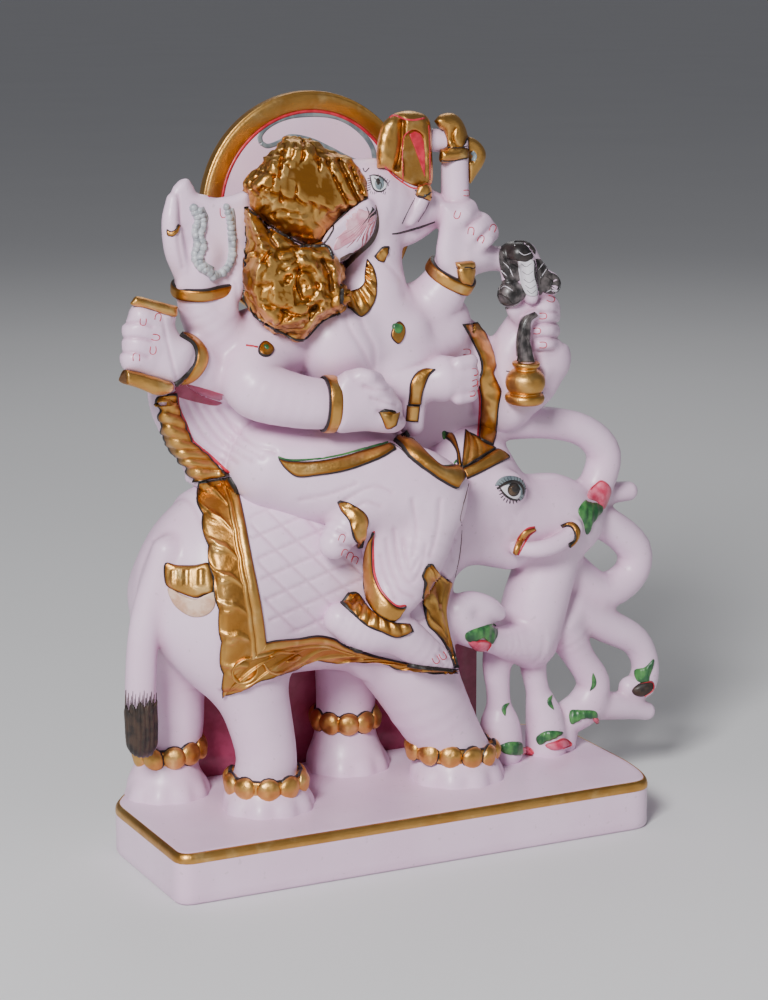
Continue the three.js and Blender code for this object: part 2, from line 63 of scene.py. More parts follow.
AZ = math.radians(VIEW_AZIMUTH)
PITCH = math.radians(VIEW_PITCH)
SIGHT = np.array((math.sin(AZ) * math.cos(PITCH), math.cos(AZ) * math.cos(PITCH), -math.sin(PITCH)))
RIGHT = np.array((math.cos(AZ), -math.sin(AZ), 0.0))
UP = np.cross(RIGHT, SIGHT)
EYE = VIEW_TARGET - VIEW_DISTANCE * SIGHT

FINE = 0.62
PLAIN = 0.8
COARSE = 1.0
# The distance that stands for open air, and how far larger faces may leave the surface, in grid steps
OUTSIDE = 12.0
FLATNESS = 0.02


def to_photo(x, y, z):
    """Pixels where points are seen: their offsets from the eye along RIGHT and UP, divided by their depth."""
    dx, dy, dz = x - EYE[0], y - EYE[1], z - EYE[2]
    depth = dx * SIGHT[0] + dy * SIGHT[1] + dz * SIGHT[2]
    u = PHOTO_WIDTH / 2 + FOCAL_PIXELS * (dx * RIGHT[0] + dy * RIGHT[1]) / depth
    v = PHOTO_HEIGHT / 2 - FOCAL_PIXELS * (dx * UP[0] + dy * UP[1] + dz * UP[2]) / depth
    return u, v, depth


def smooth_path(points, each=4):
    """Catmull-Rom: each span of the path is a cubic through its ends, aimed by the points either side."""
    points = np.asarray(points, float)
    if len(points) < 3:
        t = np.linspace(0, 1, each + 1)[:, None]
        return points[0] * (1 - t) + points[1] * t
    first, last = 2 * points[0] - points[1], 2 * points[-1] - points[-2]
    ends = np.vstack((first, points, last))
    t = np.linspace(0, 1, each, endpoint=False)[:, None]
    spans = []
    for a, b, c, d in zip(ends, ends[1:], ends[2:], ends[3:]):
        square, cube = 2 * a - 5 * b + 4 * c - d, 3 * b - a - 3 * c + d
        spans.append(0.5 * (2 * b + (c - a) * t + square * t**2 + cube * t**3))
    return np.vstack((*spans, points[-1:]))


def stroke_square(u, v, points, following):
    """The square of the distance to the nearest of some straight spans, each from a point to the one following."""
    nearest = np.full(np.broadcast(u, v).shape, np.inf, np.float32)
    for (ax, ay), (bx, by) in zip(points, following):
        ex, ey = bx - ax, by - ay
        wx, wy = u - ax, v - ay
        t = np.clip((wx * ex + wy * ey) / (ex * ex + ey * ey + 1e-9), 0, 1)
        nearest = np.minimum(nearest, (wx - t * ex) ** 2 + (wy - t * ey) ** 2)
    return nearest


def outline_distance(u, v, corners):
    """Signed distance to a closed outline: the least distance to its edges, negative where it winds round."""
    corners = np.asarray(corners, float)
    following = np.roll(corners, -1, axis=0)
    nearest = stroke_square(u, v, corners, following)
    inside = np.zeros(nearest.shape, bool)
    for (ax, ay), (bx, by) in zip(corners, following):
        rise = by - ay if abs(by - ay) > 1e-9 else 1e-9
        inside ^= ((ay > v) != (by > v)) & (u - ax < (v - ay) * (bx - ax) / rise)
    return np.where(inside, -1, 1) * np.sqrt(nearest)


def smooth_min(a, b, blend):
    """The lesser of two distances, rounded off where they are within blend of each other."""
    if blend <= 0:
        return np.minimum(a, b)
    near = np.maximum(blend - np.abs(a - b), 0) / blend
    return np.minimum(a, b) - near * near * (blend / 4)


class Limb:
    """Stations of (x, y, z, radius) joined by a smooth path: distance to its spans, less the radius there.
    depth is the half-width along Y for each millimetre of radius."""

    def __init__(self, *stations, depth=1.0):
        self.path = smooth_path(stations)
        self.depth = depth
        reach = self.path[:, 3:4] * max(1, depth)
        self.low = (self.path[:, :3] - reach).min(axis=0)
        self.high = (self.path[:, :3] + reach).max(axis=0)

    def distance(self, x, y, z):
        best = None
        y = y / self.depth
        for a, b in zip(self.path, self.path[1:]):
            ay, by = a[1] / self.depth, b[1] / self.depth
            ex, ey, ez = b[0] - a[0], by - ay, b[2] - a[2]
            length = ex * ex + ey * ey + ez * ez + 1e-9
            wx, wy, wz = x - a[0], y - ay, z - a[2]
            t = np.clip((wx * ex + wy * ey + wz * ez) / length, 0, 1)
            away = (wx - t * ex) ** 2 + (wy - t * ey) ** 2 + (wz - t * ez) ** 2
            span = np.sqrt(away) - (a[3] + t * (b[3] - a[3]))
            best = span if best is None else np.minimum(best, span)
        return best


def turn_matrix(lean, tip, turn):
    """Rotation about Y by lean, then about X by tip, then about Z by turn, in degrees."""
    a, b, c = map(math.radians, (lean, tip, turn))
    about_y = np.array(((math.cos(a), 0, math.sin(a)), (0, 1, 0), (-math.sin(a), 0, math.cos(a))))
    about_x = np.array(((1, 0, 0), (0, math.cos(b), -math.sin(b)), (0, math.sin(b), math.cos(b))))
    about_z = np.array(((math.cos(c), -math.sin(c), 0), (math.sin(c), math.cos(c), 0), (0, 0, 1)))
    return about_z @ about_x @ about_y


class Ball:
    """An ellipsoid: its scaled radius less one, brought back to millimetres by the scaled gradient."""

    def __init__(self, centre, halves, lean=0, tip=0, turn=0):
        self.centre = np.asarray(centre, float)
        self.halves = np.asarray(halves, float)
        self.matrix = turn_matrix(lean, tip, turn)
        reach = np.sqrt(((self.matrix * self.halves) ** 2).sum(axis=1))
        self.low, self.high = self.centre - reach, self.centre + reach

    def distance(self, x, y, z):
        w = (x - self.centre[0], y - self.centre[1], z - self.centre[2])
        own = [sum(self.matrix[i, k] * w[i] for i in range(3)) for k in range(3)]
        scaled = np.sqrt(sum((own[k] / self.halves[k]) ** 2 for k in range(3)))
        slope = np.sqrt(sum((own[k] / self.halves[k] ** 2) ** 2 for k in range(3))) + 1e-6
        return scaled * (scaled - 1) / slope


class Slab:
    """A smooth outline of (x, z) corners that stands from y = front back to y = back, with rounded edges: flat is how
    far out of the outline a point is, deep how far out of the two faces, and hypot(flat, deep) is round an edge."""

    def __init__(self, outline, front, back, rounding):
        self.corners = smooth_path(np.vstack((outline, outline[:1])))[:-1]
        self.front, self.back, self.rounding = front, back, rounding
        places = [self.place(a, b, y) for a, b in self.corners for y in (front, back)]
        self.low, self.high = np.min(places, axis=0), np.max(places, axis=0)

    def place(self, x, z, y):
        return x, y, z

    def outside(self, x, y, z):
        return outline_distance(x, z, self.corners)

    def distance(self, x, y, z):
        r = self.rounding
        flat = self.outside(x, y, z) + r
        deep = np.abs(y - (self.front + self.back) / 2) - (self.back - self.front) / 2 + r
        return np.minimum(np.maximum(flat, deep), 0) + np.hypot(np.maximum(flat, 0), np.maximum(deep, 0)) - r


class Sightline(Slab):
    """Everything seen inside a pixel outline, between two depths along Y, with its edges rounded."""

    def place(self, u, v, y):
        return plane_point(u, v, y)

    def outside(self, x, y, z):
        u, v, _ = to_photo(x, y, z)
        return outline_distance(u, v, self.corners) / PIXELS_PER_MM


class Turned:
    """A profile of (radius, height) turned about an axis through the centre."""

    def __init__(self, centre, profile, axis):
        self.centre = np.asarray(centre, float)
        self.axis = np.asarray(axis, float) / np.linalg.norm(axis)
        self.profile = np.asarray(profile, float)
        reach = np.hypot(*np.abs(self.profile).max(axis=0))
        self.low, self.high = self.centre - reach, self.centre + reach

    def distance(self, x, y, z):
        w = (x - self.centre[0], y - self.centre[1], z - self.centre[2])
        along = w[0] * self.axis[0] + w[1] * self.axis[1] + w[2] * self.axis[2]
        out = np.sqrt(np.maximum(w[0] ** 2 + w[1] ** 2 + w[2] ** 2 - along**2, 0))
        both = np.vstack((self.profile, self.profile[::-1] * (-1, 1)))
        return outline_distance(out, along, both)


def plane_point(u, v, y):
    """Where the sight line of a pixel meets the plane of constant y."""
    ray = SIGHT + (u - PHOTO_WIDTH / 2) / FOCAL_PIXELS * RIGHT - (v - PHOTO_HEIGHT / 2) / FOCAL_PIXELS * UP
    return EYE + ray * (y - EYE[1]) / ray[1]


def seen(u, v, y, radius):
    """A limb station at the depth y, seen at a pixel of the photograph."""
    return (*plane_point(u, v, y), radius)


def seen_limb(*stations):
    """A limb along stations of (u, v, y, radius)."""
    return Limb(*(seen(*station) for station in stations))


class Field:
    """Distances on a grid of points between two corners."""

    def __init__(self, low, high, step):
        self.low, self.step = np.asarray(low, float), step
        count = np.ceil((np.asarray(high) - self.low) / step).astype(int) + 1
        self.high = self.low + (count - 1) * step
        self.value = np.full(count, OUTSIDE, np.float32)

    def window(self, low, high):
        """Slices of the grid that cover a box, and the x, y and z of the points in them."""
        first = np.maximum(np.floor((np.asarray(low) - self.low) / self.step).astype(int), 0)
        last = np.minimum(np.ceil((np.asarray(high) - self.low) / self.step).astype(int) + 1, self.value.shape)
        if np.any(last <= first):
            return None, None
        cut = tuple(slice(a, b) for a, b in zip(first, last))
        axes = [np.arange(a, b) * self.step + start for a, b, start in zip(first, last, self.low)]
        return cut, [axis.astype(np.float32) for axis in np.meshgrid(*axes, indexing="ij", sparse=True)]

    def merge(self, shape, blend, side=1):
        """Joins a shape to the stone, or with side -1 cuts it out."""
        margin = blend + 2 * self.step
        cut, axes = self.window(shape.low - margin, shape.high + margin)
        if cut:
            own = shape.distance(*axes).astype(np.float32)
            self.value[cut] = side * smooth_min(side * self.value[cut], own, blend)

    def swell(self, low, high, height):
        """Raises the surface inside a box by height(x, y, z), given as whole arrays."""
        cut, axes = self.window(low, high)
        if cut:
            self.value[cut] -= height(*axes)

    def at(self, points):
        """Values between grid points, weighted by nearness to the eight round each."""
        place = (points - self.low) / self.step
        base = np.clip(np.floor(place).astype(int), 0, np.array(self.value.shape) - 2)
        part = (place - base).astype(np.float32)
        total = np.zeros(len(points), np.float32)
        for i in (0, 1):
            for j in (0, 1):
                for k in (0, 1):
                    weight = np.abs(1 - i - part[:, 0]) * np.abs(1 - j - part[:, 1]) * np.abs(1 - k - part[:, 2])
                    total += weight * self.value[base[:, 0] + i, base[:, 1] + j, base[:, 2] + k]
        return total

    def slope(self, points):
        """Unit normals: differences of the distance along each axis."""
        slope = np.stack([self.at(points + step) - self.at(points - step) for step in np.eye(3) * 0.55], axis=1)
        return slope / (np.linalg.norm(slope, axis=1, keepdims=True) + 1e-9)


def build(field, shapes):
    """Joins or carves each shape in turn: (shape, blend) joins, (shape, blend, "carve") cuts."""
    for shape, blend, *cut in shapes:
        field.merge(shape, blend, -1 if cut else 1)


# The blanket seen straight from the front: (x, z) corners in millimetres
BLANKET = ((-75, 157), (-74.5, 127), (-72.6, 74.5), (-65, 75), (-41.5, 80), (-20, 80), (5, 75), (27, 71), (18, 111),
    (14, 160))


def elephant_trunk_body():
    """The barrel, the haunch and the shoulder."""
    yield Limb((-64, 11, 111, 33), (-48, 11, 113, 42), (-22, 11, 113, 43), (-2, 11, 110, 40), (9, 10, 112, 31),
               depth=0.7), 0
    yield Ball((-62, 0, 100), (27, 20, 34)), 12
    yield Ball((-66, 24, 104), (25, 17, 34)), 12
    yield Ball((12, -2, 92), (23, 18, 32)), 12
    yield Ball((30, 8, 132), (22, 20, 22)), 12


def elephant_legs():
    """Each leg runs down to a flared foot, with five toes round its front."""
    near_hind = ((-64, 0, 108, 19), (-57, -5, 76, 15.2), (-50, -6, 46, 12.4), (-50, -6, 31, 13.4),
                 (-50, -6.5, 19, 19))
    far_hind = ((-76, 26, 104, 17), (-76, 28, 76, 13.5), (-75, 28, 50, 11.5), (-79, 28, 32, 12.8),
                (-80, 27.5, 19, 17.5))
    near_fore = ((9, -2, 92, 20), (20, -5, 62, 17.6), (32, -5, 40, 15), (36, -5, 30, 15.8), (37, -5.5, 19, 20))
    far_fore = ((4, 26, 84, 17), (3, 28, 60, 13.5), (2, 28, 44, 12.4), (2, 28, 31, 13.8), (2, 27.5, 19, 18))
    for leg in (near_hind, far_hind, near_fore, far_fore):
        yield Limb(*leg), 9
        x, y, _, r = leg[-1]
        for angle in (-158, -122, -86, -50, -14):
            a = math.radians(angle)
            yield Ball((x + (r - 4.6) * math.cos(a), y + (r - 4.6) * math.sin(a), 20.5), (5.6, 5.6, 6.4)), 3


def elephant_tail():
    yield Limb((-88, 2, 128, 6), (-96.5, 4, 101, 6), (-98.5, 6, 71, 6.2), (-97, 8, 50, 6)), 3


def elephant_head():
    """Skull, face and jaw, with the ear laid back against the neck and the tusk along the trunk."""
    yield Ball((46, 8, 141), (21, 19, 27), lean=22), 8
    yield Limb((48, 6, 138, 21), (66, 5, 128, 18.5), (84, 5, 124.5, 17.5), (97, 6, 122, 15)), 8
    yield seen_limb((444, 535, 3, 13), (476, 542, 1, 9.5), (508, 549, 0, 8.6)), 5
    yield Ball((31, 7, 130), (17, 20, 26)), 8
    yield Sightline(((436, 480), (460, 478), (470, 484), (464, 500), (461, 520), (462, 545), (458, 566), (450, 580),
                     (440, 574),
                     (428, 562), (423, 540), (426, 505)), -17, 8, 3), 1.2
    yield Ball((57, -12, 143), (9, 4, 7), lean=20), 4
    yield Limb((62, -12, 116.5, 3.0), (72, -15.5, 116.5, 3.6), (82, -15.5, 119, 3.6), (89, -13.5, 123, 3.2)), 1.5


def elephant_trunks():
    """The fan of trunks, each from the face out to its tip."""
    yield Limb((88, 5, 126, 16), (86, 4, 108, 13.5), seen(533, 610, 4, 14), seen(530, 640, 4, 12)), 6
    yield seen_limb((528, 640, 0, 11), (512, 642, -4, 8), (492, 640, -8, 5.6), (470, 630, -11, 6.6),
                    (458, 613, -12, 6.6),
               (470, 604, -12, 5.4), (486, 608, -12, 5.2), (498, 613, -12, 3.4)), 2.5
    yield Ball(plane_point(469, 620, -9), (10.4, 8, 10.6)), 2
    yield seen_limb((504, 640, 3, 8.4), (497, 664, 3, 6.2), (498, 690, 3, 5.0), (499, 708, 3, 5.6),
                    (500, 727, 3, 8.6),
               (502, 750, 3, 9)), 1.6
    yield seen_limb((541, 630, 5, 8.4), (533, 660, 5, 6), (537, 688, 5, 5), (541, 704, 5, 6.6), (545, 722, 5, 8.4),
               (546, 745, 5, 9)), 1.6
    yield seen_limb((560, 622, 7, 10), (578, 655, 7, 6.8), (593, 682, 7, 7.2), (584, 706, 7, 8), (563, 722, 7, 7.4),
               (560, 742, 7, 7)), 1.6
    yield seen_limb((590, 704, 8, 7), (615, 706, 8, 6), (632, 708, 8, 5), (646, 711, 8, 4)), 3
    yield seen_limb((570, 605, 8, 9), (606, 625, 8, 7.6), (634, 640, 8, 6.6), (645, 663, 8, 6), (641, 684, 8, 6.4),
               (629, 687, 8, 4.6)), 3
    yield Limb((95, 8, 104, 8), (114, 8, 89, 8), (129, 8, 94, 7.6), (131, 8, 106, 7.6), (117, 8, 118, 7.4),
               (101, 8, 123, 8)), 4
    yield Limb((96, 6, 122, 9), (109, 6, 134, 7.6), (114, 6, 149, 7.4), (104, 6, 160, 6.8), (85, 7, 165, 6.8),
               (60, 8, 166, 7)), 4
    yield Limb((104, 10, 130, 6), (116, 10, 131, 5), (129, 10, 131, 4.2)), 4


def rider_body():
    yield Ball((-20, 3, 164), (35, 24, 19)), 0
    yield Limb((-16, 3, 168, 23), (-9, 3, 186, 19.5), (-5, 2, 206, 23), (-2, 2, 217, 15), depth=0.82), 6
    yield Ball((-17, -8, 206), (16, 12, 17)), 5
    yield Ball((11, -5, 208), (14, 12, 15)), 6
    yield Ball((3, -2, 222), (12, 11, 17)), 5
    yield Limb((-42, 2, 210, 13), (-4, 5, 217, 13), (33, 3, 212, 12), depth=0.95), 6
    yield Limb((-3, 2, 220, 13), (1, 0, 234, 11.5), (1, 0, 250, 12.5)), 5


EAR = ((347, 213), (357, 205), (368, 199), (374, 204), (376, 217), (374, 231), (367, 242), (355, 252), (343, 261),
    (334, 262), (329, 252), (321, 246), (326, 234), (336, 223))


def rider_head():
    yield Ball((-2, 0, 263), (19, 14.5, 16)), 4
    yield Limb((2, -1, 262, 14.6), (15, -2, 259.6, 10.4), (25, -3, 258.4, 7.2), (29, -3, 257, 5.2)), 4
    yield Limb((3, -2, 250, 8), (14, -3, 248.6, 5), (21, -3, 250, 3.6), (27, -3, 252.4, 2.4)), 1.5
    yield Sightline(EAR, -17.5, -6, 2.4), 1.4
    yield seen_limb((424, 194, -12.4, 2.8), (418, 207, -12, 3.0), (410, 221, -11.4, 2.2)), 0.8


def rider_cape():
    outline = ((-84, 200), (-88, 190), (-85, 176), (-74, 158), (-60, 148), (40, 146), (60, 158), (62.5, 178),
               (61, 198),
               (48, 212), (20, 218), (-40, 218), (-66, 206))
    yield Slab(outline, 5, 21, 2), 2


def rider_arms():
    yield Limb((-42, 3, 208, 14), (-60, 3, 209, 12.5), (-71, 0, 222, 10), (-75, -2, 233, 8), (-74, -2, 244, 9)), 5
    yield Limb((-42, 3, 204, 13), (-56, 3, 196, 10.5), (-68, 0, 198, 9.8), (-80, -5, 205, 8.6)), 4
    yield Limb((-43, 0, 208, 13), (-54, -8, 200, 12.5), (-56, -15, 193, 12), (-42, -22, 188, 10.5),
               (-28, -25, 186, 9.6)), 4
    yield Limb((32, 2, 210, 12.5), (27, -1, 218, 11.5), (31, -4, 226, 10), (37, -6, 237, 8)), 4
    yield Limb((34, 6, 207, 11), (52, 8, 190, 11), (63, 5, 174, 11), (65, 5, 180, 11), (67, 3, 196, 10),
               (74, 2, 206, 10)), 4
    yield Limb((30, 0, 205, 12), (10, -8, 196, 10), (3, -10, 192, 9), (14, -15, 190.5, 8), (24, -18, 191, 8.4)), 4


# Outlines of the hands in the photograph
PALM = ((173, 187), (180, 180), (188, 179), (193, 186), (197, 193), (206, 195), (216, 198), (232, 195), (248, 191),
    (252, 205), (247, 235), (243, 262), (234, 276), (228, 287), (214, 294), (196, 298), (178, 291), (176, 275),
    (170, 245), (166, 225), (167, 204))
FIST = ((134, 303), (155, 306), (175, 312), (175, 325), (180, 335), (193, 343), (196, 354), (190, 369), (176, 383),
    (160, 381), (140, 376), (125, 371), (121, 358), (125, 346), (123, 330), (130, 316))
STAFF_HAND = ((441, 203), (468, 200), (474, 208), (484, 214), (494, 222), (497, 230), (493, 238), (486, 240),
    (489, 247), (494, 262), (478, 273), (462, 280), (442, 272), (436, 255), (439, 230))
GOAD_HAND = ((344, 372), (358, 368), (369, 370), (378, 376), (385, 385), (389, 394), (395, 404), (400, 415),
    (401, 425), (396, 432), (386, 433), (368, 431), (350, 432), (338, 430), (334, 405), (336, 384))
SNAKE_HAND = ((505, 303), (525, 297), (545, 294), (557, 299), (555, 310), (553, 321), (558, 339), (568, 346),
    (571, 358), (566, 370), (553, 380), (545, 386), (538, 372), (533, 350), (520, 330), (508, 315))


def rider_hands():
    yield Sightline(PALM, -8, 5, 3.6), 2.5
    yield seen_limb((173, 200, -6, 2.6), (171, 222, -7, 3.6), (175, 250, -6, 4.2), (183, 272, -4, 4)), 0.8
    yield Sightline(FIST, -17, 2, 6), 1.5
    for v, left, right in ((316, 132, 150), (330, 126, 154), (345, 125, 152), (359, 124, 146)):
        yield seen_limb((right, v + 3, -14.4, 2.6), ((left + right) / 2, v, -14.8, 3.2),
                        (left + 5, v - 1, -11, 3)), 2.4
    yield Limb((-25, -27, 187, 10), (-17, -28, 188, 9.6), (-9, -27, 184, 8)), 2
    yield Sightline(GOAD_HAND, -36, -19, 6), 3
    for (a, b), (c, d) in (((362, 376), (376, 380)), ((370, 388), (386, 393)), ((377, 401), (394, 407)),
                           ((384, 416), (398, 422))):
        yield seen_limb((a, b, -34, 3), ((a + c) / 2, (b + d) / 2, -34.6, 3.2), (c, d, -30, 3)), 2.2
    yield Limb((24, -18, 192, 9), (31, -19, 192, 7.5)), 2
    for z in (198, 193.4, 188.8, 184.4):
        yield Limb((28, -23.4, z, 2.9), (34, -22.4, z + 0.4, 2.8), (36.4, -17.6, z + 0.2, 2.4)), 1.6
    yield seen_limb((414, 396, -15, 5), (412, 424, -14, 5)), 3
    yield Sightline(STAFF_HAND, -14.5, 2, 6), 2
    for (a, b), (c, d) in (((458, 220), (470, 208)), ((470, 237), (483, 222)), ((480, 245), (491, 234))):
        yield seen_limb((a, b, -12.6, 2.6), ((a + c) / 2, (b + d) / 2, -13, 3.2), (c, d, -9, 3)), 2.6
    yield seen_limb((466, 259, -5, 5.4), (485, 258, -5, 5), (506, 259, -5, 5)), 3
    yield Sightline(SNAKE_HAND, -9, 5, 5), 2.5
    for v in (308, 317, 331, 345):
        yield seen_limb((540, v, -9, 2.5), (547, v - 1, -9, 3.1), (553, v, -5, 3)), 2.2
    yield Limb((84, 0, 190, 7), (80, 2, 180, 6), (70, 3, 174, 7)), 3


def rider_legs():
    """The near thigh with the shin hanging over the flank, the foot along the blanket, the other leg folded."""
    yield Limb((-46, -4, 160, 17), (-17, -12, 152, 18.5), (8, -19, 147, 17), (17, -22, 142, 13.8)), 8
    yield Limb((14, -21, 141, 14.5), (10, -24, 127, 13), (2, -26, 111, 10), (-5, -26, 103, 7.5)), 4
    yield seen_limb((376, 505, -20, 9), (382, 545, -21, 8.5), (384, 585, -22, 7), (384, 612, -23, 5)), 6
    yield Limb(seen(340, 619, -22, 6.7), seen(364, 629, -24.5, 8.8), (-2, -25.5, 92, 9), seen(425, 652, -26.5, 6.8),
               seen(446, 662, -27, 3.6)), 3
    yield Limb((-10, -20, 145, 11), (-20, -24, 139, 8.6), (-29, -27, 131, 6)), 3
    yield Limb((-6, -20, 160, 9), (10, -24, 156, 9), (22, -24, 150, 8)), 6


def tower_stone():
    yield Limb((13, -4, 262, 8.6), (13.4, -4, 277, 8.4), (13.4, -4, 288, 7.6)), 1
    yield Limb((20, -4, 286, 4.6), (34, -6, 284.6, 4.6)), 0.6


def staff_stone():
    yield Limb((35, -6, 284, 5.4), (35.4, -6, 262, 5.6), (36.4, -9, 244, 5.2), (36, -12, 229, 3.6)), 0.8


def halo_links():
    """Stone left between the halo, the hair and the head."""
    yield Ball((-20, 12, 256), (22, 12, 20)), 4
    yield Ball((-39, 2, 240), (13, 11, 18)), 4
    yield seen_limb((245, 212, -3, 3), (241, 250, -4, 3.4), (236, 280, -5, 4), (226, 304, -5, 5)), 3


SNAKE = ((499, 262), (501, 249), (509, 242), (524, 241), (534, 246), (541, 259), (548, 269), (557, 275), (560, 286),
    (555, 295), (545, 297), (525, 302), (512, 296), (503, 285))


def snake_stone():
    """A hooded head with a coil at either side, and the tail hanging over the palm into the pot."""
    yield Sightline(SNAKE, -10, 1, 4.5), 1
    yield seen_limb((519, 254, -11, 4.6), (527, 262, -12, 3.4), (529, 280, -11.5, 3), (531, 297, -10.5, 3)), 1.5
    yield Ball(plane_point(511, 294, -8), (5.6, 4.6, 5.2)), 1
    yield Ball(plane_point(549, 284, -6), (4.6, 4.4, 4.4)), 1
    yield seen_limb((537, 313, -10, 2.0), (527, 321, -11, 2.6), (523, 340, -11, 3.0), (526, 362, -11, 3.6)), 1


# Lines cut into the surface, in the photograph's pixels: each path, how deep in millimetres and how wide in pixels
ROBE_FOLDS = (((394, 530), (397, 556), (403, 576), (412, 582), (421, 568), (426, 545)),
    ((403, 540), (406, 560), (412, 570), (419, 558)), ((386, 540), (390, 568), (400, 590), (413, 597)),
    ((380, 556), (385, 580), (396, 600)), ((300, 500), (330, 494), (356, 484)),
    ((345, 500), (362, 490), (378, 486), (392, 492)), ((352, 510), (366, 502), (380, 506)),
    ((440, 500), (437, 530), (430, 556)), ((412, 500), (416, 530), (413, 556)))
CAPE_FOLDS = (((176, 400), (183, 420), (196, 442), (222, 462)), ((184, 398), (196, 424), (212, 445), (236, 462)),
    ((194, 400), (208, 424), (226, 446), (250, 460)), ((206, 406), (222, 428), (240, 446), (262, 456)),
    ((220, 410), (236, 430), (254, 446), (274, 452)), ((470, 340), (474, 360), (470, 384), (473, 412)))
CHEST_FOLDS = (((360, 318), (366, 332), (374, 348), (375, 366)), ((374, 257), (388, 266), (400, 280), (405, 296)),
    ((236, 285), (238, 300), (246, 318)), ((345, 315), (350, 330), (362, 350), (372, 372)))
TOES = (((338, 531), (346, 534)), ((341, 545), (351, 546)), ((347, 556), (355, 555)), ((441, 650), (449, 659)),
    ((436, 655), (443, 665)))
HAND_LINES = (((178, 196), (179, 215), (178, 240), (183, 268)), ((124, 323), (140, 323), (152, 327)),
    ((122, 338), (138, 338), (152, 341)), ((122, 352), (136, 353), (148, 357)),
    ((163, 320), (168, 345), (176, 378)), ((540, 312), (556, 312)), ((536, 324), (556, 323)),
    ((536, 338), (559, 338)), ((538, 351), (553, 350)), ((468, 226), (482, 216)), ((478, 240), (490, 228)),
    ((364, 386), (374, 389), (388, 390)), ((371, 398), (382, 401), (396, 405)),
    ((378, 411), (388, 413), (402, 418)))
EAR_LINES = (((452, 484), (452, 510), (449, 535), (452, 560)), ((440, 486), (438, 520), (440, 555)),
    ((446, 533), (455, 540)))


def cut_lines(field, paths, depth, width, low, high):
    """Grooves along pixel paths: depth * exp(-(pixels away / width)^2), between two depths along Y."""
    for path in paths:
        path = smooth_path(path)
        marks = (path[0], path[-1], path.min(axis=0) - 3 * width, path.max(axis=0) + 3 * width)
        ends = [plane_point(u, v, y) for u, v in marks for y in (low, high)]
        cut, axes = field.window(np.min(ends, axis=0), np.max(ends, axis=0))
        if cut:
            u, v, _ = to_photo(*axes)
            away = np.sqrt(stroke_square(u, v, path, path[1:]))
            field.value[cut] += depth * np.exp(-((away / width) ** 2))


def quilting(x, y, z):
    """Two crossing sets of shallow grooves over the blanket, each where its slanted coordinate comes back to zero."""
    u, v, _ = to_photo(x, y, z)
    groove = 0
    for angle, spacing in ((24, 20.5), (-45, 21.5)):
        a = math.radians(angle)
        across = (u * math.sin(a) + v * math.cos(a)) / spacing
        groove = groove + np.exp(-(((across - np.round(across)) * spacing / 1.7) ** 2))
    side = np.interp(v, (477, 493, 525, 558, 605, 642), (231, 239, 246, 252, 261, 266))
    hem = np.interp(u, (266, 318, 344, 375, 440), (640, 635, 644, 655, 668))
    inside = (np.clip((v - 488) / 40, 0, 1) * np.clip((u - side - 3) / 4, 0, 1) * np.clip((440 - u) / 20, 0, 1)
              * np.clip((hem - 3 - v) / 4, 0, 1))
    return -0.78 * np.minimum(groove, 1.2) * inside * (y < 5)


def far_quilting(x, y, z):
    """The same quilting on the far side of the blanket, plain diagonal squares."""
    groove = 0
    for a, b in ((0.5, 0.86), (-0.7, 0.7)):
        across = (x * a + z * b) / 8
        groove = groove + np.exp(-(((across - np.round(across)) * 8 / 0.7) ** 2))
    return -0.4 * np.minimum(groove, 1.2) * (y > 20) * (x > -66) * (x < 12) * (z > 82) * (z < 150)


# The corners of the boxes that the two carvings stand in, the height the feet are cut off at inside the plinth, and
# how far the blanket stands out
ELEPHANT_BOX = ((-110, -36, 16), (150, 52, 178))
RIDER_BOX = ((-112, -42, 72), (98, 34, 306))
FEET = 19.5
BLANKET_RISE = 1.4


def carve_elephant():
    field = Field(*ELEPHANT_BOX, PLAIN * COARSE)
    build(field, (*elephant_trunk_body(), *elephant_legs(), *elephant_tail(), *elephant_head(), *elephant_trunks()))
    cut, (x, y, z) = field.window(*ELEPHANT_BOX)
    field.value[cut] = np.maximum(field.value[cut], FEET - z)
    inside = np.clip(-outline_distance(x, z, BLANKET) / 0.8, -1, 1)
    field.value[cut] -= BLANKET_RISE * (0.5 + 0.5 * inside)
    field.swell((-80, -40, 70), (30, 5, 162), quilting)
    field.swell((-80, 15, 70), (30, 52, 162), far_quilting)
    # The backs of the far legs are cut flush with the back of the wall
    field.value[cut] = np.maximum(field.value[cut], -np.maximum(WALL_BACK - 0.3 - y, outline_distance(x, z, WALL)))
    cut_lines(field, EAR_LINES, 0.5, 2.2, -40, 12)
    return field


def carve_rider():
    field = Field(*RIDER_BOX, FINE * COARSE)
    build(field, (*rider_cape(), *rider_body(), *halo_links(), *rider_head(), *rider_arms(), *rider_legs(),
                  *rider_hands(), *tower_stone(), *staff_stone(), *snake_stone()))
    cut_lines(field, ROBE_FOLDS, 0.5, 2.4, -42, -5)
    cut_lines(field, CAPE_FOLDS, 0.9, 3.6, -20, 16)
    cut_lines(field, CHEST_FOLDS, 0.5, 3.0, -30, 5)
    cut_lines(field, TOES, 0.7, 1.6, -42, -15)
    cut_lines(field, HAND_LINES, 0.6, 1.7, -40, 0)
    return field


def faces_of(field):
    """The zero surface of a field: points, triangles and quads, with its flatter parts in larger faces."""
    grid = openvdb.FloatGrid(OUTSIDE)
    grid.copyFromArray(np.clip(field.value, -3 * field.step, OUTSIDE))
    points, triangles, quads = grid.convertToPolygons(0.0, FLATNESS)
    return points * field.step + field.low, triangles.astype(np.int64), quads.astype(np.int64)


# How far to either side a crease is looked for
HOLLOW_REACH = 1.3


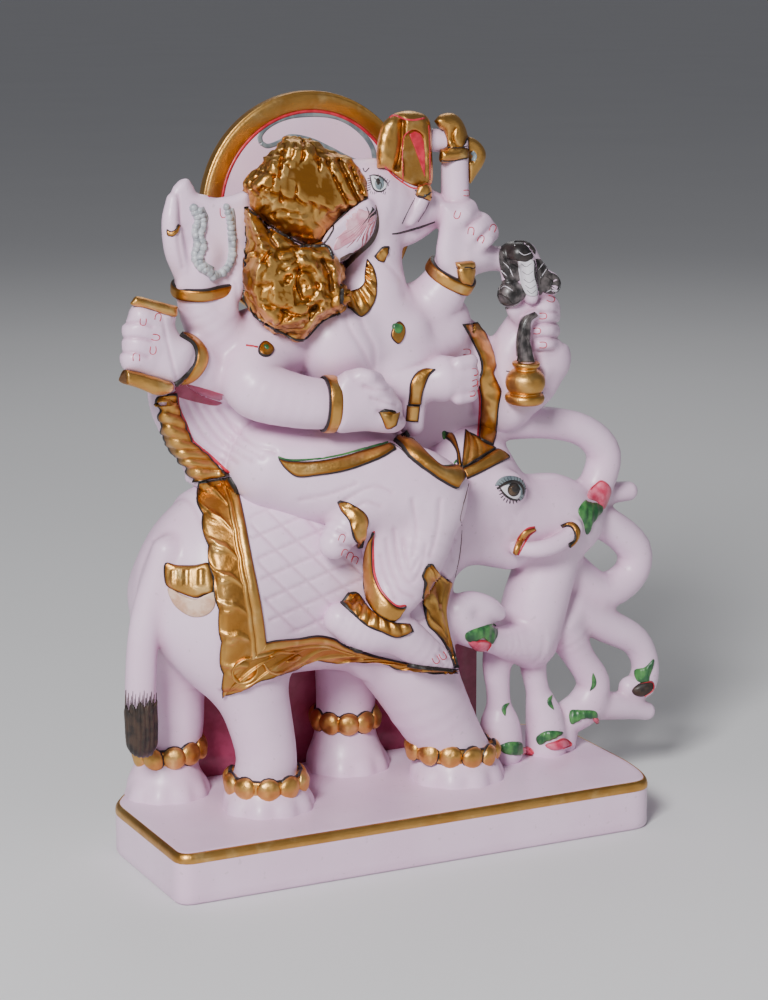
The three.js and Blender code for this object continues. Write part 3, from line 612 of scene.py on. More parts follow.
def hollowness(field, points, normal):
    """How deep each point lies in a crease, 0 to 1: the stone stands above the mean of two points at either side, and
    another part of the stone is nearer than the clear way out along the normal."""
    one = np.cross(normal, (0.31, 0.52, 0.79))
    one /= np.linalg.norm(one, axis=1, keepdims=True) + 1e-9
    two = np.cross(normal, one)
    sides = (one, two, (one + two) * 0.707, (one - two) * 0.707)
    dips = [-(field.at(points + way * HOLLOW_REACH) + field.at(points - way * HOLLOW_REACH)) / 2 for way in sides]
    near = 1 - np.clip(field.at(points + normal * 5) / 5, 0, 1)
    return np.clip(np.max(dips, axis=0) / 0.4, 0, 1) * 0.4 + near * 0.45


def surface_of(name, field, material, slot):
    """A field's surface as a piece, with the field's own slope as its normals."""
    heap = Heap(name, material, slot)
    points, triangles, quads = faces_of(field)
    heap.closed(points, quads, triangles, NO_EDGE)
    piece = heap.piece()
    slope = field.slope(points)
    piece.data.normals_split_custom_set_from_vertices(slope)
    # How deep each point lies in a crease, which the marble shows as painted shade
    layer = piece.data.attributes.new("hollow", "FLOAT", "POINT")
    layer.data.foreach_set("value", hollowness(field, points, slope).astype(np.float32))
    return piece


def unbroken(points, tear, wrap, pole):
    """For each cell of a grid of points, whether its longest side is shorter than tear. Of two cells that would meet
    only at a corner one is dropped, and round a pole all are dropped together."""
    down, across = (np.linalg.norm(np.diff(points, axis=k), axis=-1) for k in (0, 1))
    kept = np.maximum(np.maximum(down[:, :-1], down[:, 1:]), np.maximum(across[:-1], across[1:])) < tear
    if pole:
        kept[:, -1] &= kept[:, -1].all()
    for _ in range(30):
        one = np.roll(kept, -1, axis=0) if wrap else np.pad(kept[1:], ((0, 1), (0, 0)), constant_values=False)
        here, beside = kept[:, :-1], kept[:, 1:]
        below, beyond = one[:, :-1], one[:, 1:]
        pinched = (here & beyond & ~beside & ~below) | (~here & ~beyond & beside & below)
        if not wrap:
            pinched[-1] = False
        if not pinched.any():
            break
        kept[:, :-1] &= ~pinched
        kept[:, 1:] &= ~pinched
        if pole:
            kept[:, -1] &= kept[:, -1].all()
    return kept


# The edge value of a point with no rim near it
NO_EDGE = 9.0


class Heap:
    """Closed shells gathered into one mesh: points, faces and, at each point, how far in from the leaf's edge it is.
    An edge value under 1 is painted as the dark outline."""

    def __init__(self, name, material, slot):
        self.name, self.material, self.slot = name, material, slot
        self.points, self.quads, self.triangles, self.edges = [], [], [], []
        self.count = 0

    def shell(self, front, back, edge=None, wrap=False, pole=False, tear=0.0):
        """A sheet of (rows, columns) points with a back, closed round its rim. wrap joins the last row to the first,
        and pole makes the last column one point. Where two points next to each other are further apart than tear, the
        sheet has a gap, and it is closed round the gap as well."""
        rows, columns = front.shape[:2]
        index = np.arange(rows * columns).reshape(rows, columns)
        if pole:
            index[:, -1] = index[0, -1]
        if wrap:
            index = np.vstack((index, index[:1]))
        other = index + rows * columns
        kept = np.ones((len(index) - 1, columns - 1), bool)
        if tear:
            kept = unbroken(front.reshape(-1, 3)[index], tear, wrap, pole)
        sheets = []
        for grid, turn in ((index, 1), (other, -1)):
            corners = np.stack((grid[:-1, :-1], grid[1:, :-1], grid[1:, 1:], grid[:-1, 1:]), axis=-1)
            sheets.append(corners[kept][:, ::turn])
        before, after = np.pad(kept, ((0, 0), (1, 0))), np.pad(kept, ((0, 0), (0, 1)))
        corners = np.stack((index[:-1], other[:-1], other[1:], index[1:]), axis=-1)
        sheets += [corners[after & ~before], corners[before & ~after][:, ::-1]]
        if wrap:
            before, after, last = np.roll(kept, 1, axis=0), kept, -1
        else:
            before, after, last = np.pad(kept, ((1, 0), (0, 0))), np.pad(kept, ((0, 1), (0, 0))), None
        near, far = index[:last], other[:last]
        corners = np.stack((near[:, :-1], far[:, :-1], far[:, 1:], near[:, 1:]), axis=-1)
        sheets += [corners[after & ~before][:, ::-1], corners[before & ~after]]
        faces = np.vstack(sheets)
        used, faces = np.unique(faces, return_inverse=True)
        points = np.vstack((front.reshape(-1, 3), back.reshape(-1, 3)))
        edge = np.ravel(np.full(front.shape[:2], NO_EDGE) if edge is None else edge)
        if len(used):
            self.take(points[used], faces.reshape(-1, 4), np.resize(edge, len(points))[used])

    def take(self, points, faces, edge=NO_EDGE):
        """Turns the faces outwards, drops the ones that a pole has closed up, and adds the shell to the heap."""
        a, b, c, d = (points[faces[:, k]] for k in range(4))
        volume = np.einsum("ij,ij->i", np.cross(b - a, c - a), a) + np.einsum("ij,ij->i", np.cross(c - a, d - a), a)
        if volume.sum() < 0:
            faces = faces[:, ::-1]
        same = faces == np.roll(faces, -1, axis=1)
        closed = same.any(axis=1)
        triangles = []
        for k in range(4):
            rows = faces[same[:, k] & (same.sum(axis=1) == 1)]
            triangles.append(np.delete(rows, k, axis=1))
        self.closed(points, faces[~closed], np.vstack(triangles), edge)

    def closed(self, points, quads, triangles, edge):
        """Adds a closed mesh as it is."""
        self.quads.append(quads + self.count)
        self.triangles.append(triangles + self.count)
        self.points.append(points)
        self.edges.append(np.resize(edge, len(points)))
        self.count += len(points)

    def piece(self):
        mesh = bpy.data.meshes.new(self.name)
        points = np.vstack(self.points)
        groups = [g for g in (np.vstack(self.quads), np.vstack(self.triangles)) if len(g)]
        used, corners = np.unique(np.concatenate([g.ravel() for g in groups]), return_inverse=True)
        points, corners = points[used], corners.astype(np.int32)
        sizes = np.concatenate([np.full(len(g), g.shape[1]) for g in groups])
        mesh.vertices.add(len(points))
        mesh.vertices.foreach_set("co", (points * MM).astype(np.float32).ravel())
        mesh.loops.add(len(corners))
        mesh.loops.foreach_set("vertex_index", corners)
        mesh.polygons.add(len(sizes))
        mesh.polygons.foreach_set("loop_start", np.concatenate(((0,), np.cumsum(sizes)[:-1])).astype(np.int32))
        mesh.polygons.foreach_set("use_smooth", np.ones(len(sizes), bool))
        mesh.update(calc_edges=True)
        layer = mesh.attributes.new("edge", "FLOAT", "POINT")
        layer.data.foreach_set("value", np.concatenate(self.edges)[used].astype(np.float32))
        piece = bpy.data.objects.new(self.name, mesh)
        bpy.context.scene.collection.objects.link(piece)
        mesh.materials.append(self.material)
        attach(piece, "root")
        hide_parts(NODE)
        return piece


# Everything carved so far, that leaf and paint are laid on, and gilded bodies that join it once all of them are built
carved = []
later = []


def stone_at(points):
    """The distance to the nearest carved surface, negative inside."""
    best = np.full(len(points), OUTSIDE, np.float32)
    for part in carved:
        inside = np.all((points > part.low) & (points < part.high), axis=1)
        if inside.any():
            if isinstance(part, Field):
                value = part.at(points[inside])
            else:
                value = part.distance(*points[inside].T)
            best[inside] = np.minimum(best[inside], value)
    return best


# How far to either side the stone's distance is compared for its slope
SLOPE_REACH = 0.5


def slope_at(points):
    """The unit normal of the stone: differences of its distance along each axis."""
    slope = np.stack([stone_at(points + step) - stone_at(points - step) for step in np.eye(3) * SLOPE_REACH],
                     axis=1).astype(float)
    return slope / (np.linalg.norm(slope, axis=1, keepdims=True) + 1e-9)


def settle(points, times):
    """Moves points onto the stone, each time by the distance there along the normal."""
    for _ in range(times):
        points = points - slope_at(points) * stone_at(points)[:, None]
    return points


# A sight line is followed in this many steps at most, each this share of the distance to the stone and no shorter
# than LEAST_STEP, until it is within TOUCHING of it
SIGHT_STEPS = 110
STEP_SHARE = 0.85
LEAST_STEP = 0.12
TOUCHING = 0.03


def on_stone(pixels, near, far):
    """Where each pixel's sight line first meets the stone between two depths along Y, or passes it closest."""
    flat = np.asarray(pixels, float).reshape(-1, 2)
    across = (flat[:, :1] - PHOTO_WIDTH / 2) / FOCAL_PIXELS
    down = (flat[:, 1:] - PHOTO_HEIGHT / 2) / FOCAL_PIXELS
    rays = SIGHT + across * RIGHT - down * UP
    rays /= np.linalg.norm(rays, axis=1, keepdims=True)
    way = (near - EYE[1]) / rays[:, 1]
    stop = (far - EYE[1]) / rays[:, 1]
    best_way, best = way.copy(), np.full(len(flat), np.inf)
    for _ in range(SIGHT_STEPS):
        value = stone_at(EYE + rays * way[:, None])
        closer = value < best
        best_way = np.where(closer, way, best_way)
        best = np.where(closer, value, best)
        moving = (best > TOUCHING) & (way < stop)
        if not moving.any():
            break
        way = np.where(moving, way + np.maximum(value * STEP_SHARE, LEAST_STEP), way)
    return settle(EYE + rays * best_way[:, None], 5)


def length_along(path):
    """How far along a path each of its points lies."""
    return np.concatenate(((0,), np.cumsum(np.linalg.norm(np.diff(path, axis=0), axis=1))))


def stepped(path, count, endpoint=True):
    """A path of straight spans cut into points at equal steps along it."""
    length = length_along(path)
    steps = np.linspace(0, length[-1], count, endpoint=endpoint)
    return np.stack([np.interp(steps, length, path[:, k]) for k in range(path.shape[1])], axis=1)


def evenly(path, count):
    """A smooth path cut into points at equal steps along it."""
    return stepped(smooth_path(path, 12), count)


def path_length(path):
    return np.linalg.norm(np.diff(smooth_path(path, 12), axis=0), axis=1).sum()


# A laid sheet is left open where the stone under it steps back by this much from one point to the next
TEAR = 3.0


def lay(heap, pixels, proud, edge=None, wrap=False, pole=False, near=-60, far=60, sink=0.8, tear=TEAR):
    """Lays a grid of pixels on the stone, its front proud by so many millimetres and its back sunk."""
    points = on_stone(pixels, near, far)
    normal = slope_at(points)
    shape = pixels.shape[:2]
    front = points + normal * np.broadcast_to(proud, shape).reshape(-1, 1)
    back = points - normal * sink
    heap.shell(front.reshape(*shape, 3), back.reshape(*shape, 3), edge, wrap, pole, tear)


def band(heap, edge_a, edge_b, relief, outline=0.55, grain=0.55, ends=True, scallop=None, tear=TEAR):
    """A strip between two outlines: t of the way from the first to the second, s millimetres along.
    relief(s, t, length) gives how proud it is, and scallop(s) pushes the first outline outwards, in millimetres."""
    count = max(int(max(path_length(edge_a), path_length(edge_b)) / PIXELS_PER_MM / grain), 6)
    a, b = evenly(edge_a, count), evenly(edge_b, count)
    middle = (a + b) / 2
    along = length_along(middle) / PIXELS_PER_MM
    width = np.linalg.norm(b - a, axis=1) / PIXELS_PER_MM
    if scallop:
        outwards = (a - b) / (np.linalg.norm(a - b, axis=1, keepdims=True) + 1e-6)
        a = a + outwards * scallop(along)[:, None] * PIXELS_PER_MM
    columns = max(int(width.max() / grain), 5)
    t = np.linspace(0, 1, columns)
    pixels = a[:, None] * (1 - t)[:, None] + b[:, None] * t[:, None]
    s, t = np.meshgrid(along, t, indexing="ij")
    sides = np.minimum(t, 1 - t) * width[:, None]
    first, last = (ends, ends) if isinstance(ends, bool) else ends
    if first:
        sides = np.minimum(sides, s)
    if last:
        sides = np.minimum(sides, along[-1] - s)
    edge = sides / outline if outline else np.full(s.shape, NO_EDGE)
    height = relief(s, t, along[-1])
    # Painted shade: the lower parts of the relief get a lower edge value, which the leaf shows browner
    tone = 1.6 + 3 * (height - height.min()) / (height.max() - height.min() + 0.3)
    lay(heap, pixels, height, np.minimum(edge, tone), tear=tear)


def line(heap, path, width, height=0.14, taper=0.0, near=-60, far=60, sink=0.4):
    """A painted line: a low ridge, (1 - t * t) of its height at t of the way to either side."""
    count = max(int(path_length(path) / PIXELS_PER_MM / 0.55), 4)
    middle = evenly(path, count)
    along = np.gradient(middle, axis=0)
    along /= np.linalg.norm(along, axis=1, keepdims=True) + 1e-9
    side = np.stack((-along[:, 1], along[:, 0]), axis=1)
    run = np.linspace(0, 1, count)
    narrow = 1 - taper * np.abs(2 * run - 1) ** 2
    t = np.linspace(-1, 1, 5)
    offsets = t[None, :] * narrow[:, None] * width / 2 * PIXELS_PER_MM
    pixels = middle[:, None] + side[:, None] * offsets[..., None]
    lay(heap, pixels, height * (0.35 + 0.65 * (1 - t * t))[None, :], near=near, far=far, sink=sink)


def patch(heap, outline, relief, outline_width=0.0, near=-60, far=60, grain=0.6, smooth=True):
    """A filled outline: rings that shrink to its middle, r from 1 at the rim to 0. relief is a height or
    relief(r, u, v)."""
    outline = np.asarray(outline, float)
    loop = np.vstack((outline, outline[:1]))
    if smooth:
        ends = np.vstack((outline[-1:], loop, outline[1:2]))
        path = smooth_path(ends, 8)[8:-8]
    else:
        path = loop
    rim = stepped(path, max(int(length_along(path)[-1] / PIXELS_PER_MM / grain), 10), endpoint=False)
    middle = rim.mean(axis=0)
    reach = np.linalg.norm(rim - middle, axis=1).max() / PIXELS_PER_MM
    rings = max(int(reach / grain), 4)
    r = np.linspace(1, 0, rings + 1)
    pixels = middle + (rim[:, None] - middle) * r[None, :, None]
    r = np.broadcast_to(r, pixels.shape[:2])
    inward = (1 - r) * reach * 0.8
    if callable(relief):
        height = relief(r, pixels[..., 0], pixels[..., 1])
    else:
        height = relief * np.minimum(1, inward / 0.6 + 0.3)
    edge = inward / outline_width if outline_width else None
    lay(heap, pixels, height, edge, wrap=True, pole=True, near=near, far=far)


def frame_round(axis):
    """Two unit directions square to an axis and to each other."""
    axis = np.asarray(axis, float) / np.linalg.norm(axis)
    side = np.cross(axis, (0, 1, 0) if abs(axis[1]) < 0.8 else (1, 0, 0))
    side /= np.linalg.norm(side)
    return axis, side, np.cross(axis, side)


# How many directions are looked along round a limb
ROUND = 96


def stone_radius(centre, axis, low, high):
    """How far the stone reaches from an axis point, at each angle round it: the first step that leaves the stone."""
    _, one, two = frame_round(axis)
    angle = np.linspace(0, 2 * math.pi, ROUND, endpoint=False)
    ways = np.cos(angle)[:, None] * one + np.sin(angle)[:, None] * two
    steps = np.arange(low, high, 0.1)
    points = np.asarray(centre, float) + ways[:, None] * steps[None, :, None]
    outside = stone_at(points.reshape(-1, 3)).reshape(ROUND, -1) > 0
    found = np.where(outside.any(axis=1), steps[np.argmax(outside, axis=1)], high)
    spread = np.exp(-0.5 * (np.arange(-6, 7) / 2.5) ** 2)
    spread /= spread.sum()
    return ways, sum(weight * np.roll(found, shift) for weight, shift in zip(spread, range(-6, 7)))


def hoop(heap, centre, axis, low, high, half, proud, outline=0.5):
    """A band round a limb: radius(angle) of the stone plus a domed rim, across its half-width."""
    unit, _, _ = frame_round(axis)
    ways, radius = stone_radius(centre, axis, low, high)
    t = np.linspace(-1, 1, 11)
    rise = proud * (0.25 + 0.75 * np.sqrt(np.maximum(1 - t**4, 0)))
    sides = [np.asarray(centre) + ways[:, None] * (radius[:, None] + r)[..., None] + unit * (t * half)[None, :, None]
             for r in (rise, np.full(len(t), -1.2))]
    edge = np.broadcast_to((1 - np.abs(t)) * half / outline, sides[0].shape[:2])
    heap.shell(*sides, edge, wrap=True)


def round_faces(rows, columns, poles=True):
    """The faces of a grid of points whose last row joins its first. Its first and its last column are a point each,
    or without poles the last column joins the first."""
    index = np.arange(rows * columns).reshape(rows, columns)
    if poles:
        index[:, 0], index[:, -1] = index[0, 0], index[0, -1]
    else:
        index = np.hstack((index, index[:, :1]))
    index = np.vstack((index, index[:1]))
    return np.stack((index[:-1, :-1], index[:-1, 1:], index[1:, 1:], index[1:, :-1]), axis=-1).reshape(-1, 4)


def egg(heap, centre, halves, matrix, rows, columns, lump=0.0, seed=0.0):
    """An ellipsoid of rows round by columns down, with its poles closed and an optional low swell over it."""
    turn = np.linspace(0, 2 * math.pi, rows, endpoint=False)
    tilt = np.linspace(0, math.pi, columns)
    a, b = np.meshgrid(turn, tilt, indexing="ij")
    swell = 1 + lump * np.sin(3 * a + seed) * np.sin(2 * b + seed)
    ball = np.stack((np.cos(a) * np.sin(b), np.sin(a) * np.sin(b), np.cos(b)), axis=-1) * swell[..., None]
    points = (ball * np.asarray(halves)) @ np.asarray(matrix).T + np.asarray(centre)
    heap.take(points.reshape(-1, 3), round_faces(rows, columns))


def beads(heap, dark, centre, axis, low, high, count, halves):
    """A ring of beads round a limb, each on a slightly larger flat dark bead that shows as its outline.
    Where the limb stands against the wall, the beads stop."""
    unit, _, _ = frame_round(axis)
    ways, radius = stone_radius(centre, axis, low, high)
    for k in range(count):
        turn = int(k * ROUND / count)
        way = ways[turn]
        place = np.asarray(centre) + way * (radius[turn] + 0.2)
        if place[1] > WALL_FRONT + 2:
            continue
        side = np.cross(unit, way)
        matrix = np.stack((side, unit, way), axis=1)
        egg(heap, place, halves, matrix, 16, 12, lump=0.05, seed=k * 1.7)
        egg(dark, place - way * 0.4, (halves[0] + 0.25, halves[1] + 0.4, halves[2] * 0.55), matrix, 16, 8)


def lathe(heap, centre, profile, axis, count):
    """A closed profile of (radius, height) turned round an axis; it closes where it starts and ends on the axis."""
    unit, one, two = frame_round(axis)
    profile = np.asarray(profile, float)
    angle = np.linspace(0, 2 * math.pi, count, endpoint=False)
    ways = np.cos(angle)[:, None] * one + np.sin(angle)[:, None] * two
    points = np.asarray(centre, float) + ways[:, None] * profile[None, :, :1] + unit * profile[None, :, 1:]
    heap.take(points.reshape(-1, 3), round_faces(count, len(profile), profile[0, 0] == 0))


def hammered(x, y, size, seed):
    """Irregular low swells: six waves of about one size in different directions, added up, from -1 to 1."""
    chance = np.random.default_rng(seed)
    total = 0
    for _ in range(6):
        way, phase, scale = chance.uniform(0, 2 * math.pi), chance.uniform(0, 2 * math.pi), chance.uniform(0.7, 1.5)
        total = total + np.sin((x * math.cos(way) + y * math.sin(way)) * 2 * math.pi / (size * scale) + phase)
    return total / 6


# Finishes

class Socket:
    """A value in a material: arithmetic on it adds a Math node for each step."""

    def __init__(self, tree, output):
        self.tree, self.output = tree, output

    def math(self, operation, first, second):
        return node(self.tree, "ShaderNodeMath", {"operation": operation}, (first, second))

    def __add__(self, other):
        return self.math("ADD", self, other)

    def __sub__(self, other):
        return self.math("SUBTRACT", self, other)

    def __mul__(self, other):
        return self.math("MULTIPLY", self, other)

    def __rsub__(self, other):
        return self.math("SUBTRACT", other, self)

    __radd__ = __add__
    __rmul__ = __mul__

    def ramp(self, low, high):
        """0 at low, 1 at high, smoothed between."""
        settings = {"interpolation_type": "SMOOTHSTEP"}
        return node(self.tree, "ShaderNodeMapRange", settings, {"Value": self, "From Min": low, "From Max": high})


def node(tree, kind, settings=None, inputs=(), output=0):
    """Adds one node: its settings first, then the values or links of its sockets, in order or by name."""
    made = tree.nodes.new(kind)
    for key, value in (settings or {}).items():
        setattr(made, key, value)
    pairs = inputs.items() if isinstance(inputs, dict) else enumerate(inputs)
    for key, value in pairs:
        if isinstance(value, Socket):
            tree.links.new(value.output, made.inputs[key])
        else:
            made.inputs[key].default_value = value
    return Socket(tree, made.outputs[output])


def blend(tree, factor, first, second):
    """A colour between two colours."""
    return node(tree, "ShaderNodeMix", {"data_type": "RGBA"}, {0: factor, 6: first, 7: second}, 2)


def noise(tree, place, scale, detail, roughness=0.5):
    return node(tree, "ShaderNodeTexNoise", {}, {"Vector": place, "Scale": scale, "Detail": detail,
                                                 "Roughness": roughness})


def finish(name, **sockets):
    """A new material whose shader has these plain values, with its tree and the object's own coordinates."""
    material = bpy.data.materials.new(name)
    material.use_nodes = True
    tree = material.node_tree
    shader = tree.nodes["Principled BSDF"]
    for key, value in sockets.items():
        shader.inputs[key.replace("_", " ")].default_value = value
    place = node(tree, "ShaderNodeTexCoord", output="Object")
    return material, tree, shader, place


def feed(tree, shader, **sockets):
    for key, value in sockets.items():
        tree.links.new(value.output, shader.inputs[key.replace("_", " ")])


def bumped(tree, height, strength, distance):
    return node(tree, "ShaderNodeBump", {}, {"Strength": strength, "Distance": distance, "Height": height})


def marble():
    """Polished lilac-cast white marble, faintly clouded, with a few grey-pink pores and painted shade in creases."""
    material, tree, shader, place = finish("marble", Roughness=0.4, Coat_Weight=0.12, Coat_Roughness=0.2)
    clouds = noise(tree, place, 24, 4).ramp(0.35, 0.7)
    fine = noise(tree, place, 900, 2)
    pores = noise(tree, place, 420, 1).ramp(0.7, 0.78)
    colour = blend(tree, clouds, (0.79, 0.555, 0.735, 1), (0.85, 0.63, 0.81, 1))
    # Painted shade: the colour darkens towards a deep pink where the surface lies in a crease or hollow
    hollow = node(tree, "ShaderNodeAttribute", {"attribute_name": "hollow"}, output="Fac")
    colour = blend(tree, hollow, colour, (0.52, 0.28, 0.40, 1))
    colour = blend(tree, pores * 0.35, colour, (0.52, 0.38, 0.45, 1))
    feed(tree, shader, Base_Color=colour, Roughness=fine * 0.12 + 0.34, Normal=bumped(tree, fine, 0.12, 0.0002))
    return material


def gold_leaf():
    """Burnished leaf over the stone: crumpled, browner near its rims, painted shade in the low parts of its relief
    and in creases, painted highlight in broad patches, and a painted dark line along its edge.
    """
    material, tree, shader, place = finish("gold_leaf", Coat_Weight=0.0)
    edge = node(tree, "ShaderNodeAttribute", {"attribute_name": "edge"}, output="Fac")
    leaf = edge.ramp(0.9, 1.1)
    broad = noise(tree, place, 130, 3)
    fine = noise(tree, place, 900, 4, 0.6)
    worn = noise(tree, place, 60, 3, 0.5).ramp(0.35, 0.85)
    colour = blend(tree, worn, (0.68, 0.375, 0.105, 1), (0.48, 0.215, 0.045, 1))
    # Painted highlight: lighter gold in broad random patches
    colour = blend(tree, broad.ramp(0.5, 0.85), colour, (0.86, 0.58, 0.23, 1))
    # Browner where the edge value is low: near the leaf's rims, and as painted shade in low relief and creases
    colour = blend(tree, edge.ramp(1.2, 3.2), (0.36, 0.14, 0.024, 1), colour)
    colour = blend(tree, leaf, (0.012, 0.008, 0.006, 1), colour)
    rough = (fine * 0.22 + 0.27) * leaf + (1 - leaf) * 0.5
    crumple = broad * 0.55 + fine * 0.45
    feed(tree, shader, Base_Color=colour, Metallic=leaf, Roughness=rough, Normal=bumped(tree, crumple, 0.35, 0.0009))
    return material


def paint(name, deep, light, roughness=0.38):
    """Brushed paint: two close shades in uneven strokes."""
    material, tree, shader, place = finish(name, Coat_Weight=0.15, Coat_Roughness=0.25)
    strokes = noise(tree, place, 260, 3)
    grain = noise(tree, place, 1200, 2)
    colour = blend(tree, strokes.ramp(0.35, 0.65), (*deep, 1), (*light, 1))
    feed(tree, shader, Base_Color=colour, Roughness=grain * 0.2 + roughness - 0.1,
         Normal=bumped(tree, strokes, 0.15, 0.0002))
    return material


# The carved stone and what is laid on it

PLINTH = ((-105, -49), (105, -49), (110.5, -39), (113, -22), (113, 27), (99, 49), (-84, 49), (-89, 43), (-94.6, 36),
    (-99, 31), (-105, 22))
PLINTH_TOP = 21
PLINTH_POINTS = 240
PLINTH_CORNER = 7
HALO_CENTRE = (-16.5, 22, 257.8)
HALO_RADIUS = 46.8
HALO_THICK = 6
# Half the thickness of the disc inside its ring
HALO_FACE = HALO_THICK / 2 - 0.6
WALL = ((-86, 19), (70, 19), (70, 76), (60, 84), (46, 94), (24, 108), (-66, 112), (-82, 96))
WALL_FRONT = 37
WALL_BACK = 43


def rounded(corners, radius, steps=6):
    """Each corner of a closed outline becomes a curve that starts and ends radius away from it."""
    corners = np.asarray(corners, float)
    before, after = np.roll(corners, 1, axis=0), np.roll(corners, -1, axis=0)
    t = np.linspace(0, 1, steps)[:, None]
    points = []
    for last, here, following in zip(before, corners, after):
        reach_in = min(radius, np.linalg.norm(last - here) / 2)
        reach_out = min(radius, np.linalg.norm(following - here) / 2)
        start = here + (last - here) / np.linalg.norm(last - here) * reach_in
        end = here + (following - here) / np.linalg.norm(following - here) * reach_out
        points.append(start * (1 - t) ** 2 + here * 2 * t * (1 - t) + end * t**2)
    return np.vstack(points)


def plinth(stone, gold):
    """The outline rounded at its corners, carried up from the underside, over a soft bevel and in to the middle."""
    corners = rounded(PLINTH, PLINTH_CORNER, 12)
    outline = stepped(np.vstack((corners, corners[:1])), PLINTH_POINTS, endpoint=False)
    nearby = np.roll(outline, -1, axis=0) - np.roll(outline, 1, axis=0)
    outwards = np.stack((nearby[:, 1], -nearby[:, 0]), axis=1)
    outwards = outwards + np.roll(outwards, 1, axis=0) + np.roll(outwards, -1, axis=0)
    outwards /= np.linalg.norm(outwards, axis=1, keepdims=True)
    inset_height = ((3.0, 0.0), (0.6, 0.4), (0, 1.4), (0, 5), (0, 10), (0, 15), (0, 18.2), (0.35, 19.6), (1.1, 20.5),
                    (2.4, 20.95), (4, 21))

    def ring(inset, height):
        return np.column_stack((outline - outwards * inset, np.full(len(outline), height)))

    rings = [ring(inset, height) for inset, height in inset_height]
    shrink = [np.column_stack((rings[-1][:, :2] * k, np.full(len(outline), PLINTH_TOP))) for k in (0.8, 0.55, 0.3, 0)]
    under = [np.column_stack((rings[0][:, :2] * k, np.zeros(len(outline)))) for k in (0, 0.5)]
    points = np.stack(under + rings + shrink, axis=1)
    stone.take(points.reshape(-1, 3), round_faces(*points.shape[:2]))
    stripe = ((0, 16.9), (0, 17.6), (0, 18.4), (0.35, 19.6), (1.1, 20.5), (1.7, 20.8))
    front = np.stack([ring(inset - 0.14, height + 0.06) for inset, height in stripe], axis=1)
    back = np.stack([ring(inset + 0.5, height - 0.3) for inset, height in stripe], axis=1)
    gold.shell(front, back, wrap=True)


def halo(stone, gold, red):
    """A standing disc: its face sunk inside a gold ring with a dished band, and a red line round the face."""
    r, half = HALO_RADIUS, HALO_THICK / 2
    lathe(stone, HALO_CENTRE, ((0, HALO_FACE), (r - 7, HALO_FACE), (r - 1, HALO_FACE), (r - 0.6, 0),
                               (r - 1, -HALO_FACE),
                               (r - 7, -HALO_FACE), (0, -HALO_FACE)), (0, 1, 0), 144)
    ring = [(r - 7.6 + 7.0 * a, -half + 0.5 - 0.9 * math.sin(a * math.pi) ** 0.5 * (0.75 + 0.25 * a))
            for a in (k / 12 for k in range(13))]
    rim = ((r - 0.2, -half + 0.4), (r, -half + 1.4), (r, half - 1.4), (r - 0.3, half - 0.2))
    behind = ((r - 1.5, half), (r - 6.5, half), (r - 7.2, half - 0.7))
    inside = ((r - 6.4, half - 1.4), (r - 1.8, half - 1.4), (r - 1.8, 1.4 - half), (r - 6.4, 1.4 - half))
    lathe(gold, HALO_CENTRE, (*ring, *rim, *behind, *inside), (0, 1, 0), 192)
    lathe(red, HALO_CENTRE, ((r - 8.6, 1 - half), (r - 8.6, 0.45 - half), (r - 8, 0.3 - half), (r - 7.4, 0.45 - half),
                             (r - 7.4, 1 - half)), (0, 1, 0), 192)


def wall(maroon):
    """The stone left standing behind the legs, painted maroon."""
    outline = rounded(WALL, 6)
    middle = outline.mean(axis=0)
    k = np.linspace(1, 0, 6)
    flat = middle + (outline[:, None] - middle) * k[None, :, None]
    sides = [np.stack((flat[..., 0], np.full(flat.shape[:2], y), flat[..., 1]),
                      axis=-1) for y in (WALL_FRONT, WALL_BACK)]
    maroon.shell(*sides, wrap=True, pole=True)


UPPER_HAIR = ((241, 191), (255, 177), (264, 165), (268, 158), (279, 154), (286, 145), (289, 139), (300, 141),
    (310, 143), (323, 153), (336, 158), (352, 166), (360, 177), (366, 188), (368, 198), (353, 209), (343, 217),
    (334, 228), (326, 238), (317, 245), (309, 245), (297, 240), (280, 232), (268, 224), (256, 216), (249, 207),
    (247, 195))
LOWER_HAIR = ((246, 209), (250, 212), (266, 225), (277, 233), (289, 243), (300, 246), (315, 245), (328, 246),
    (331, 251), (333, 259), (341, 271), (339, 284), (345, 289), (345, 310), (333, 315), (321, 321), (311, 331),
    (303, 338), (292, 336), (281, 331), (268, 326), (256, 316), (250, 303), (246, 290), (246, 256), (248, 243),
    (246, 227))


def closed_surface(heap, field):
    """Adds a field's zero surface to a heap, painted dark where it comes out of the stone, with painted shade in
    creases.
    """
    points, triangles, quads = faces_of(field)
    slope = field.slope(points)
    # Painted shade: browner the deeper a point lies in a crease
    tone = 4.4 - 3.4 * np.clip(2.2 * hollowness(field, points, slope), 0, 1)
    heap.closed(points, quads, triangles, np.clip((stone_at(points) + 0.04) / 0.3, 0, tone))


# The hair's curls: how many are looked for, how far apart they are, how far each reaches, how high it bulges, how
# deep its groove is, and how wide each turn of the groove
CURLS = 40
CURL_APART = 7.0
CURL_REACH = 6
CURL_BULGE = 1.9
CURL_GROOVE = 0.2
CURL_TURN = 3.0


def scattered(field, low, high):
    """Random places for curls on the surface of a field."""
    places = rng.uniform(low, high, (CURLS * 200, 3))
    places = places[np.abs(field.at(places)) < 1.2]
    kept = places[:1]
    for place in places[1:]:
        if len(kept) < CURLS and np.linalg.norm(kept - place, axis=1).min() > CURL_APART:
            kept = np.vstack((kept, place))
    return kept


